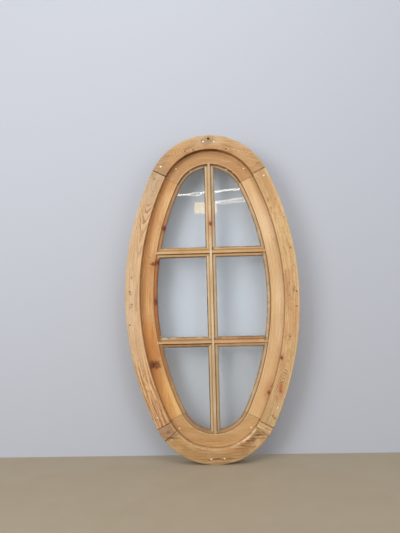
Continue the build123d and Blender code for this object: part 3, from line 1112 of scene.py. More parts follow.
@dataclass
class Ring(SubAssembly):
    """Outer ring: head, foot, two jambs and two let-in blocks, in CAD nodes with their own boards."""

    face: float = 54.0
    front: float = -29.0
    lip_depth: float = 24.0
    joint_turn: float = 27.5
    block_left: float = 50.0
    block_right: float = 34.0

    @property
    def joint_run(self) -> float:
        """Run of the outline at the ring's joints."""
        return OVAL.run_at(self.joint_turn)

    @property
    def arris(self) -> Zone:
        """Pale inner arris of the face: a painted highlight where the rounded arris catches the light, with
        wear.
        """
        return Zone(self.face - 2.2, self.face + 2.0, 0.7, (226, 192, 142), 0.5, 0.4)

    @property
    def greyed(self) -> Zone:
        """Greyer wood next to the outer arris."""
        return Zone(-8.0, 6.0, 7.0, (176, 170, 150), 0.22, 0.3, deep=(self.front, self.front + 5))

    def rim(self, colour: Seen = (210, 176, 128), width: float = 2.6, soft: float = 2.0) -> Zone:
        """Rubbed outer arris of the face."""
        return Zone(-8.0, width, soft, colour, 0.45, 0.6, deep=(self.front, self.front + 5))

    def arris_highlight_and_wear(self, colour: Seen, strength: float, x: Span) -> Zone:
        """Thin pale line along the inner arris, over a range of x: a painted highlight where the rounded
        arris faces the light, with wear.
        """
        return Zone(self.face - 2.4, self.face + 0.1, 0.5, colour, strength, 0.7, x=x, fade=30.0)

    def lip(self, colour: Seen, strength: float, x: Span | None = None) -> Zone:
        """Inner wall of the lip, in front of the sash, darkened by painted shade with some dirt, in a colour
        and strength for each member.
        """
        deep = (self.front + 1.5, self.front + self.lip_depth)
        return Zone(self.face - 0.7, self.face + 2.0, 0.5, colour, strength, 0.25, x=x, deep=deep, fade=50.0)

    def head(self) -> Pine:
        """Head: nested pointed arches each side of the middle, a hanging hole and pin marks."""
        return Pine(
            "head pine",
            Board(LEVEL, 580, follow=0.3, pith_across=-22, pith_deep=-28, bow=70, bow_at=6, bow_length=200,
                  ring_width=2.8, waver=2.0, seed=1.0),
            PineTones((190, 154, 111), late=0.12, figure=0.36, streak=0.38, fleck=0.5),
            holes=marks((1.5, 597, 4.6), (-25, 590, 2.0, 0.7), (9, 589, 1.6)),
            stains=marks((193, 455, 3), (0, 592, 20, 0.6, 1.4), (192, 498, 5, 0.6), (199, 489, 3, 0.9)),
            patches=marks(
                (-184, 502, 3, 0.5, 7, (120, 92, 68)), (-190, 490, 3, 0.5, 6, (124, 96, 70)),
                (-150, 536, 3, 0.5, 6, (130, 92, 60)), (120, 552, 3, 0.5, 7, (176, 118, 70)),
            ),
            zones=(
                self.greyed, self.rim(), Zone(44, 54, 7.0, (180, 132, 84), 0.4, 0.3),
                Zone(0, 34, 9.0, (208, 190, 160), 0.4, 0.5, x=(-20, 20), fade=60.0),
                Zone(0, 54, 1.0, (142, 116, 92), 0.42, 0.4, x=(-240, -168), fade=30.0),
                # Lip walls: painted shade with dirt, darkest in the head's middle where the wall faces down
                self.lip((96, 54, 22), 0.9, (-90, 20)), self.lip((164, 114, 66), 0.7, (-300, -140)),
                self.lip((176, 126, 76), 0.7, (80, 300)),
            ),
            ageings=(
                Ageing(SIDES, 120, 190, (160, 118, 80), 0.4, 0.7),
                Ageing(SIDES, 44, 58, (96, 48, 20), 1.6, 1.0, LATE, 84, inset=(34, 52), fade=8.0),
            ),
            joints=(Seam(self.joint_run),),
        )

    def foot(self) -> Pine:
        """Foot: level grain in dark lines that run out at both ends, with a worn patch by its plugs."""
        dark, red = (112, 68, 36), (168, 104, 60)
        return Pine(
            "foot pine",
            Board(LEVEL, 580, follow=0.12, pith_across=44, pith_deep=18, bow=0.03, ring_width=3.4,
                  waver=6.0, seed=2.0),
            PineTones((184, 146, 100), late=0.66, streak=0.34, fleck=0.4),
            holes=marks((-7, -592, 1.8, 0.7), (7, -589, 1.8, 0.7), (15, -591, 1.6, 0.6)),
            stains=marks(
                (4, -590, 4, 1.0, 5), (-23, -594, 4, 1.0, 2), (25, -594, 3, 1.0, 2), (52, -589, 3, 0.9, 7),
                (30, -604, 3, 0.7, 12), (-150, -513, 2.4, 1.4, 9),
            ),
            patches=marks(
                (136, -520, 6, 1.0, 2.0, dark), (122, -527, 5, 1.0, 3.0, dark), (108, -536, 5, 0.9, 4.0, red),
                (98, -543, 3.4, 1.0, 4.5, dark), (162, -507, 3.2, 1.0, 7, dark), (88, -556, 3.6, 0.8, 7, red),
                (128, -548, 3.0, 0.7, 8, dark), (168, -518, 3.0, 0.6, 5, dark),
                (50, -560, 7, 0.35, 3, (206, 130, 60)), (-122, -540, 2, 0.6, 9, red),
                (-100, -556, 2, 0.5, 10, red),
            ),
            zones=(
                self.greyed, self.rim((196, 168, 108)),
                Zone(0, 54, 1.0, (214, 178, 116), 0.3, 0.5, x=(-170, -90), fade=30.0),
                Zone(6, 34, 8.0, (150, 110, 66), 0.45, 0.5, x=(-110, 40), fade=30.0),
                Zone(9, 24, 5.0, (234, 202, 152), 0.45, 0.5, x=(135, 240), fade=20.0),
                Zone(48, 54, 1.5, (246, 220, 180), 0.2, 0.5, x=(75, 150), fade=30.0),
                # Painted shade on the lip wall, which faces up, and painted highlights with wear along the
                # inner arris
                self.lip((176, 138, 94), 0.5), self.arris_highlight_and_wear((230, 200, 156), 0.5, (-120, 40)),
                self.arris_highlight_and_wear((250, 226, 190), 0.7, (70, 230)),
            ),
            ageings=(
                Ageing(SIDES, 76, 104, (112, 72, 40), 0.62, 1.0, LATE, 200, x=(0, 300)),
                Ageing(SIDES, 80, 165, (122, 84, 50), 0.45, 0.95),
                Ageing(SIDES, 60, 190, (170, 134, 90), 0.3, 0.2),
            ),
            joints=(Seam(self.joint_run + self.block_left, -1),
                    Seam(self.joint_run + self.block_right, 1, 0.8)),
        )

    def jamb_left(self) -> Pine:
        """Left jamb: a pointed arch high up, plain pale wood, and dark streaks near its foot."""
        return Pine(
            "left jamb pine",
            Board(UPRIGHT, 290, follow=0.94, pith_across=-13, pith_deep=-28, bow=50, bow_at=533,
                  bow_length=130, ring_width=2.7, waver=1.6, seed=3.0),
            PineTones((202, 171, 135), late=0.22, figure=0.6, streak=0.3, fibre=0.24, fleck=0.36),
            holes=marks(
                (-299, 78, 2.4, 0.4), (-307, 26, 3.2, 0.7), (-303, 15, 2.4, 0.6), (-300, -22, 2.6, 0.5),
                (-305, -33, 2.4, 0.5), (-308, -99, 3.4, 0.9),
            ),
            stains=marks(
                (-302, -28, 11, 0.4, 0.7), (-305, 20, 9, 0.6, 0.7), (-218, 470, 8, 0.6),
                (-222, 456, 3, 0.9), (-299, 78, 8, 0.4, 0.7), (-300, -210, 4, 0.5),
            ),
            # The lip wall is painted shade with dirt, and the inner arris a painted highlight with wear
            zones=(self.greyed, self.rim((216, 188, 132)), self.arris, self.lip((190, 140, 90), 0.7)),
            ageings=(
                Ageing(HEAD, 300, 430, (156, 136, 110), 0.5, 0.3),
                Ageing(HEAD, 236, 276, (146, 94, 54), 0.7, 1.0, LATE, 336, inset=(18, 52), fade=8.0),
                Ageing(FOOT, 60, 300, (196, 152, 106), 0.3, 0.0, STREAK, 150),
                Ageing(FOOT, 170, 320, (228, 190, 138), 0.8, 0.0),
                Ageing(FOOT, 150, 330, (160, 104, 60), 0.4, 1.0, LATE),
                Ageing(FOOT, 170, 300, (152, 92, 54), 0.85, 1.0),
                Ageing(FOOT, 200, 300, (112, 66, 40), 0.7, 1.0, FLECK),
            ),
            joints=(Seam(self.joint_run),),
        )

    def jamb_right(self) -> Pine:
        """Right jamb: flecked wood with old nail holes, a swirl round a red streak and small knots."""
        orange = (192, 134, 76)
        return Pine(
            "right jamb pine",
            Board(UPRIGHT, 290, follow=0.94, pith_across=-2, pith_deep=-28, bow=35, bow_at=-338,
                  bow_length=60, ring_width=3.4, waver=1.2, seed=4.0,
                  knots=marks((243, -352, 6, 0.6), (250, -230, 8, 0.9, 0.7), (284, -153, 3, 0.7))),
            PineTones((200, 166, 119), late=0.2, figure=1.0, streak=0.3, fibre=0.22, fleck=0.55),
            holes=marks(
                (306, 108, 2.6, 0.6), (289, 45, 2.4, 0.6), (305, 32, 3.0, 0.8), (313, 13, 3.2, 0.9),
                (286, -2, 2.4, 0.6), (311, -42, 3.2, 0.7), (301, 18, 2.4, 0.8), (303, 5, 2.2, 0.7),
                (296, 176, 2.2, 0.5), (255, 395, 2.4, 0.6), (268, 362, 2.0, 0.6), (306, -18, 2.0, 0.5),
            ),
            stains=marks(
                (304, 20, 10, 0.5, 0.7), (297, 176, 6, 0.5), (218, -447, 5), (288, 90, 6, 0.3),
                (252, -228, 12, 0.5, 0.6), (276, 290, 4, 0.8),
            ),
            patches=marks(
                (242, -333, 22, 0.95, 0.34, (176, 92, 48)), (227, -376, 17, 0.7, 0.3, (186, 106, 68)),
                (225, 416, 24, 0.6, 0.5, (200, 146, 80)), (237, 396, 16, 0.7, 0.25, orange),
                (219, 356, 10, 0.8, 0.4, (172, 110, 60)), (243, 340, 26, 0.55, 0.2, orange),
                (229, 318, 16, 0.7, 0.28, (176, 114, 64)), (243, 287, 16, 0.6, 0.3, orange),
                (262, 330, 20, 0.45, 0.22, orange), (275, 250, 26, 0.4, 0.18, orange),
            ),
            zones=(
                # The lip wall is painted shade with dirt, and the inner arris a painted highlight with wear
                self.greyed, self.rim((226, 196, 142), 4.0, 8.0), self.arris, self.lip((160, 108, 62), 0.6),
                Zone(43, 53, 4.0, (168, 128, 86), 0.5, 0.3, z=(-50, 70), fade=30.0),
            ),
            ageings=(
                Ageing(HEAD, -190, -120, (190, 134, 98), 0.5, 1.0, STREAK, 70),
                Ageing(HEAD, -230, -170, (176, 116, 76), 0.5, 1.0, FLECK, 90),
                Ageing(HEAD, 250, 320, (176, 114, 64), 0.6, 1.0, FLECK, 420),
                Ageing(HEAD, 300, 440, (176, 142, 104), 0.5, 0.2),
                Ageing(FOOT, 200, 280, (216, 182, 138), 0.4, 0.0, STREAK, 360),
                Ageing(FOOT, 235, 275, (134, 80, 42), 0.8, 1.0, LATE, 345),
                Ageing(FOOT, 340, 430, (124, 88, 54), 0.5, 1.0),
                Ageing(FOOT, 300, 400, (200, 166, 122), 0.45, 0.0),
            ),
            joints=(Seam(self.joint_run),),
        )

    def block(self, side: str, slant: float, seen: Seen, length: float, breaks: float, stains: Marks,
              seed: float) -> Pine:
        """Let-in block, whose grain runs across the ring.

        Args:
            side: Left or right.
            slant: Turn of its grain in degrees.
            seen: Its colour as a whole.
            length: Distance along the outline from its first joint to its second.
            breaks: How much of the dirt in its joints is gone.
            stains: Dirt marks on it.
            seed: Which part of the noise its grain reads.

        Returns:
            The finish.
        """
        board = Board(LEVEL, 325, slant=slant, pith_across=36, pith_deep=30, ring_width=3.0, seed=seed)
        tones = PineTones(seen, late=0.4, streak=0.36, fleck=0.5)
        joints = tuple(Seam(run, 0, breaks) for run in (self.joint_run, self.joint_run + length))
        # The inner arris is a painted highlight with wear
        zones = (self.rim(), self.arris)
        return Pine(f"{side} block pine", board, tones, stains=stains, zones=zones, joints=joints)

    def build(self) -> None:
        """Dress the ring's members and blocks."""
        left_stains = marks((-160, -512, 2.6, 1.6, 7), (-172, -494, 7, 0.8), (-205, -500, 8, 0.4))
        right_stains = marks((186, -486, 6, 0.6))
        left = self.block("left", 27.5, (166, 131, 97), self.block_left, 0.3, left_stains, 5.0)
        right = self.block("right", -27.5, (196, 163, 116), self.block_right, 0.8, right_stains, 6.0)
        self.dress({
            "frame_head": self.head(), "frame_foot": self.foot(), "frame_jamb_left": self.jamb_left(),
            "frame_jamb_right": self.jamb_right(), "foot_block_left": left, "foot_block_right": right,
        })


@dataclass
class Sash(SubAssembly):
    """Fixed sash: two stiles and two end rails with a quirk and an ovolo round the lights."""

    outer_inset: float = 54.0
    face: float = 49.5
    moulding: float = 14.5
    quirk: float = 2.6
    joint_turn: float = 26.5

    @property
    def quirk_inset(self) -> float:
        """Inset at which the face ends and the quirk starts."""
        return self.outer_inset + self.face

    @property
    def sight_inset(self) -> float:
        """Inset of the sight edge, where the glass starts."""
        return self.quirk_inset + self.moulding

    @property
    def arris(self) -> Zone:
        """Pale arris between the face and the quirk: a painted highlight with wear."""
        return Zone(self.quirk_inset - 1.8, self.quirk_inset - 0.3, 0.6, (240, 210, 164), 0.6, 0.5)

    @property
    def sight_dirt(self) -> Zone:
        """Dirt along the sight edge, next to the glass."""
        return Zone(self.sight_inset - 2.5, self.sight_inset + 3, 2.0, (120, 96, 70), 0.55, 0.4)

    def quirk_shade_and_dirt(self, colour: Seen, strength: float) -> Zone:
        """Dark quirk: painted shade with dirt in the recess."""
        return Zone(self.quirk_inset - 0.4, self.quirk_inset + self.quirk + 0.6, 0.8, colour, strength, 0.2)

    def ovolo(self, colour: Seen, strength: float, patchy: float = 0.3) -> Zone:
        """Colour of the ovolo, where old paint and polish were stripped less well, with painted shade that
        darkens it on members whose ovolo faces away from the lamps.
        """
        low = self.quirk_inset + self.quirk + 0.6
        return Zone(low, self.sight_inset + 4, 1.0, colour, strength, patchy)

    def member(self, name: str, board: Board, tones: PineTones, **layers: Value) -> Pine:
        """Finish of one member, with painted shade and dirt in the corner behind the ring's lip, and dirt in
        its joints.
        """
        dirt = {"crevice_shade_and_dirt_line": self.outer_inset + 0.4, "joints": (Seam(OVAL.run_at(self.joint_turn)),)}
        return Pine(name, board, tones, joint_width=1.4, **dirt, **layers)

    def head(self) -> Pine:
        """Head rail: grain that bends round the curve in soft streaks, and a moulding darkened by painted
        shade.
        """
        low, high = self.quirk_inset, self.sight_inset + 3
        return self.member(
            "sash head pine",
            Board(LEVEL, 530, inset=78, follow=0.35, pith_across=46, pith_deep=60, lean_deep=0.03,
                  bow=0.05, ring_width=3.2, seed=7.0),
            PineTones((188, 147, 103), late=0.36, streak=0.3),
            zones=(
                self.ovolo((140, 108, 76), 0.8),
                # Painted light beside the lip, where the ring's shadow falls on the rail
                Zone(53, 62, 4.0, (240, 196, 142), 0.35, 0.2, x=(90, 240), fade=50.0),
                Zone(53, 60, 3.0, (236, 184, 128), 0.3, 0.2, x=(-240, -110), fade=50.0),
                Zone(88, 103, 5.0, (160, 118, 76), 0.3, 0.3),
                # Painted shadow over the upper part of the moulding
                Zone(low + 1.8, low + 8.6, 1.6, (98, 68, 38), 0.85, 0.2),
                Zone(low + 9.5, high, 1.6, (200, 178, 144), 0.5, 0.4),
                Zone(low + 10.5, high, 1.2, (216, 198, 164), 0.4, 0.3, x=(-45, 55), fade=20.0),
                # Painted shade on the moulding where the vertical bar meets it
                Zone(low + 2, high, 1.6, (96, 72, 44), 0.6, 0.2, x=(-16, 16), fade=14.0),
                self.arris,
            ),
            ageings=(Ageing(HEAD, 470, 560, (206, 160, 104), 0.3, 0.6),),
            patches=residue((66, 484, 3, 0.8, 2.0), (92, 470, 3, 0.7, 1.5), (-70, 482, 3, 0.6, 2.0)),
        )

    def foot(self) -> Pine:
        """Foot rail: grain that bends round the curve, with red flecks and a moulding in two browns."""
        low = self.quirk_inset
        return self.member(
            "sash foot pine",
            Board(LEVEL, 530, inset=78, follow=0.3, pith_across=40, pith_deep=44, lean_deep=0.02,
                  bow=0.06, ring_width=3.4, seed=8.0),
            PineTones((187, 149, 102), late=0.44, streak=0.28),
            zones=(
                Zone(50, 104, 4.0, (222, 184, 134), 0.2, 0.0, x=(80, 240), fade=50.0),
                Zone(54, 104, 2.0, (184, 134, 80), 0.35, 0.3, x=(-190, -115), fade=20.0),
                self.quirk_shade_and_dirt((136, 104, 72), 0.65), self.ovolo((176, 140, 106), 0.75),
                Zone(low + 3.6, low + 7.0, 1.0, (206, 178, 142), 0.8, 0.3, x=(30, 240)),
                Zone(low + 8, self.sight_inset + 2, 1.5, (128, 92, 62), 0.7, 0.3, x=(-170, 40), fade=30.0),
                self.ovolo((150, 130, 104), 0.3, 0.9), self.sight_dirt, self.arris,
            ),
            patches=marks(
                (38, -491, 3, 0.7, 2.4, (200, 104, 50)), (70, -494, 3, 0.6, 3, (196, 112, 60)),
                (-46, -508, 4, 0.4, 3, (196, 128, 74)), (20, -528, 3, 0.4, 9, (196, 128, 70)),
            ),
        )

    def stile_left(self) -> Pine:
        """Left stile: warm and knotty, with a red-brown moulding."""
        low, high = self.quirk_inset, self.sight_inset + 3
        return self.member(
            "left stile pine",
            Board(UPRIGHT, 240, inset=78, follow=0.75, pith_across=-46, pith_deep=34, lean_across=0.02,
                  ring_width=3.2, waver=4.0, seed=9.0,
                  knots=marks((-222, -250, 19, 1.0, 1.4), (-219, 128, 9, 0.8, 1.4), (-202, 134, 13, 1.0, 0.9),
                              (-176, 264, 13, 1.0, 0.8), (-213, -14, 18, 1.0, 0.5))),
            PineTones((200, 158, 108), late=0.34, streak=0.5),
            zones=(
                # Painted shadow of the ring's lip on the outer band, and painted light right by the lip
                Zone(58, 74, 3.5, (190, 130, 76), 0.4, 0.4),
                Zone(53, 58, 1.5, (226, 170, 112), 0.5, 0.3),
                Zone(low + 0.5, low + 8.0, 1.5, (226, 190, 144), 0.8, 0.3, z=(150, 380), fade=30.0),
                Zone(86, 103, 5.0, (230, 194, 144), 0.3, 0.2, z=(150, 380), fade=40.0),
                Zone(90, 103, 4.0, (230, 190, 124), 0.5, 0.2, z=(-440, -240), fade=30.0),
                self.quirk_shade_and_dirt((156, 112, 66), 0.75), self.ovolo((158, 122, 88), 0.8, 0.2),
                # Darker quirk high up: painted shade with dirt in the recess
                Zone(low + 1.2, low + 7.0, 1.5, (98, 70, 42), 0.45, 0.3, z=(190, 460), fade=30.0),
                Zone(low + 0.5, low + 6.0, 1.5, (170, 118, 52), 0.75, 0.3, z=(-150, 150), fade=20.0),
                Zone(low + 7.5, high, 1.5, (150, 84, 50), 0.75, 0.3, z=(-150, 150), fade=20.0),
                Zone(low + 4, low + 10, 1.5, (116, 80, 50), 0.35, 0.3, z=(-310, 30), fade=30.0),
                Zone(high - 6, high, 1.5, (176, 150, 118), 0.6, 0.4, z=(160, 460), fade=20.0),
                self.arris,
            ),
            ageings=(
                Ageing(FOOT, 60, 260, (212, 164, 100), 0.6, 0.2),
                Ageing(FOOT, 260, 330, (226, 184, 122), 0.35, 0.2, STREAK, 420),
                Ageing(FOOT, 50, 120, (184, 124, 70), 0.6, 0.3, STREAK, 180),
                Ageing(HEAD, 360, 430, (178, 122, 68), 0.35, 0.3),
                Ageing(FOOT, 20, 160, (214, 148, 74), 0.7, 1.0, STREAK, 260, inset=(54, 88), fade=8.0),
                Ageing(FOOT, 60, 200, (160, 98, 50), 0.6, 1.0, LATE, 400, inset=(60, 92), fade=8.0),
                Ageing(HEAD, 120, 260, (168, 110, 60), 0.5, 1.0, LATE, 430),
            ),
            patches=marks(
                (-228, -150, 44, 0.8, 0.12, (180, 108, 50)), (-214, -196, 34, 0.45, 0.14, (206, 136, 66)),
                (-166, -402, 34, 0.55, 0.24, (208, 140, 66)), (-182, -376, 26, 0.6, 0.18, (214, 138, 60)),
                (-196, -330, 30, 0.6, 0.16, (180, 116, 58)), (-221, 128, 3, 0.6, 4.0, (112, 66, 38)),
            ) + residue((-196, -147, 4, 0.9, 1.2), (-199, 154, 4, 0.8, 1.2)),
        )

    def stile_right(self) -> Pine:
        """Right stile: plain, with specks of old putty along its moulding."""
        low, high = self.quirk_inset, self.sight_inset + 3
        return self.member(
            "right stile pine",
            Board(UPRIGHT, 240, inset=78, follow=0.85, pith_across=-52, pith_deep=70, ring_width=2.8,
                  waver=3.0, seed=10.0, knots=marks((202, -360, 9, 1.0), (215, -337, 6, 0.5))),
            PineTones((210, 178, 137), late=0.24, streak=0.26, fleck=0.2, knot=(150, 94, 52),
                      core=(104, 62, 36)),
            zones=(
                self.quirk_shade_and_dirt((124, 80, 38), 0.85), self.ovolo((188, 160, 128), 0.75),
                Zone(low + 3, low + 9, 1.5, (140, 112, 82), 0.3, 0.3, z=(40, 460), fade=30.0),
                Zone(low + 3, low + 7, 1.5, (222, 196, 160), 0.6, 0.3, z=(-460, -200), fade=30.0),
                Zone(low + 9, high, 1.5, (140, 114, 84), 0.45, 0.3, z=(-320, -170), fade=30.0),
                self.ovolo((152, 134, 106), 0.3, 0.9), self.sight_dirt, self.arris,
            ),
            ageings=(
                Ageing(FOOT, 150, 350, (214, 174, 122), 0.6, 0.1),
                Ageing(HEAD, 300, 420, (204, 162, 112), 0.6, 0.1),
            ),
            patches=residue(
                (212, 30, 7, 0.8, 0.5), (211, 6, 5, 0.9, 0.7), (210, -16, 6, 0.9, 0.6),
                (211, -40, 5, 0.9, 0.6), (206, -72, 8, 0.7, 0.4), (203, -150, 5, 0.9, 1.0),
                (183, 150, 4, 0.7, 1.2), (152, 362, 12, 0.5, 0.35),
            ),
            # Lighter painted shade and dirt behind the lip on this side
            grime_strength=0.4,
        )

    def build(self) -> None:
        """Dress the sash's members."""
        self.dress({
            "sash_head": self.head(), "sash_foot": self.foot(),
            "sash_stile_left": self.stile_left(), "sash_stile_right": self.stile_right(),
        })


@dataclass(frozen=True)
class BarFace:
    """Colours of one glazing bar; each pair is for its left or lower half and its right or upper one. The
    halves differ partly by painted light and shade, and the quirk and edge strengths lay painted shade with
    dirt.
    """

    fillet: Seen
    bands: tuple[Seen, Seen]
    quirks: tuple[Seen, Seen]
    quirk_shade_and_dirt: Span
    edge_shade_and_dirt: Span
    stains: Marks
    residue: Marks


@dataclass
class GlazingBars(SubAssembly):
    """Vertical bar and four short bars, each a pale fillet between two quirks and two ovolos."""

    height: float = 169.2
    half_fillet: float = 4.5
    quirk: float = 2.6
    half_width: float = 19.0

    def zones(self, face: BarFace) -> Iterator[Zone]:
        """Bands, quirks and edges on both sides of the centre line.

        Args:
            face: Colours of the bar.

        Yields:
            The zones of one half after the other.
        """
        quirk = (self.half_fillet - 0.2, self.half_fillet + self.quirk + 0.5)
        end = self.half_width + 1
        # Each half's quirk colour and strength, and its edge strength, lay painted shade with dirt
        halves = zip((-1, 1), face.bands, face.quirks, face.quirk_shade_and_dirt, face.edge_shade_and_dirt)
        for side, band, dirt, quirk_shade_and_dirt, edge_shade_and_dirt in halves:
            for start, stop, soft, colour, strength, patchy in (
                (quirk[1] + 0.4, end, 0.7, band, 0.75, 0.3),
                (*quirk, 0.5, dirt, quirk_shade_and_dirt, 0.15),
                (self.half_width - 3.0, end, 1.2, (104, 84, 60), edge_shade_and_dirt, 0.3),
            ):
                yield Zone(*sorted((side * start, side * stop)), soft, colour, strength, patchy)

    def faces(self) -> dict[str, BarFace]:
        """Colours of each bar."""
        h = self.height
        return {
            "bar_vertical": BarFace(
                (209, 184, 148), ((196, 172, 136), (164, 142, 112)), ((170, 138, 96), (132, 98, 60)),
                (0.6, 0.8), (1.0, 0.3),
                marks((8, h + 14, 6, 0.9), (-9, h - 12, 4, 0.6), (9, 12 - h, 6, 0.9), (-10, 10 - h, 5, 0.8),
                      (8, 500, 6, 0.8), (12, -494, 6, 0.6)),
                residue((-8, -151, 5, 0.9, 1.4), (8, h + 22, 5, 0.7, 0.8), (7, -148, 4, 0.7),
                        (15, 440, 14, 0.5, 0.2), (-15, 400, 16, 0.4, 0.2), (15, -10, 10, 0.5, 0.3)),
            ),
            "bar_upper_left": BarFace(
                (196, 162, 114), ((178, 145, 108), (172, 131, 90)), ((98, 60, 26), (170, 128, 80)),
                (0.95, 0.5), (0.7, 0.7), (), residue((-188, 156, 4, 0.5, 1.8), (-172, 184, 2, 0.6, 4)),
            ),
            "bar_upper_right": BarFace(
                (196, 160, 114), ((178, 145, 110), (182, 148, 106)), ((94, 56, 22), (172, 132, 86)),
                (0.98, 0.5), (0.4, 1.0), marks((196, 160, 8, 0.8)),
                residue((24, 184, 3, 0.8, 3), (174, 153, 3, 0.8, 2.2), (110, 185, 2, 0.5, 6)),
            ),
            "bar_lower_left": BarFace(
                (192, 158, 116), ((130, 92, 60), (172, 134, 96)), ((74, 38, 10), (172, 134, 98)),
                (0.98, 0.5), (0.7, 0.6), marks((-200, -160, 8, 0.7)),
                residue((-182, -154, 4, 0.9, 3), (-150, -152, 3, 0.7, 4), (-49, -153, 3, 0.7, 4),
                        (-176, -186, 3, 0.6, 3)),
            ),
            "bar_lower_right": BarFace(
                (196, 160, 116), ((162, 126, 90), (150, 103, 68)), ((140, 92, 52), (168, 124, 84)),
                (0.85, 0.5), (0.4, 0.6), marks((196, -160, 9, 0.8)),
                residue((182, -166, 5, 0.8, 2.0), (40, -153, 2, 0.5, 5)),
            ),
        }

    def build(self) -> None:
        """Dress the bars, each with its own board."""
        for number, (node, face) in enumerate(self.faces().items()):
            upright = node == "bar_vertical"
            line = 0.0 if upright else self.height * (1 if "upper" in node else -1)
            board = Board(
                UPRIGHT if upright else LEVEL, abs(line), pith_across=-40, waver=2.0, seed=11.0 + number,
                knots=marks((1, 278, 11, 1.0, 0.7)) if upright else (),
            )
            ageings = (
                Ageing(FOOT, 150, 300, (166, 138, 100), 0.45, 0.3),
                Ageing(HEAD, 340, 430, (168, 142, 110), 0.55, 0.2),
            ) if upright else ()
            tones = PineTones(face.fillet, late=0.3, streak=0.26)
            self.dress({node: Pine(
                node.replace("_", " ") + " pine", board, tones, stains=face.stains,
                zones=tuple(self.zones(face)), ageings=ageings, patches=face.residue, centre_line=line,
            )})


@dataclass(frozen=True)
class Light:
    """One of the six lights between the bars, on a side (-1 or 1) and in a row (-1, 0 or 1)."""

    side: int
    row: int

    @property
    def name(self) -> str:
        """Ending of the names of the light's nodes."""
        return ("lower", "middle", "upper")[self.row + 1] + ("_left", "", "_right")[self.side + 1]

    def placed(self, points: np.ndarray) -> np.ndarray:
        """Mirror points of x, y and z from the upper or middle right light to this one."""
        return points * (self.side, 1.0, self.row or 1)


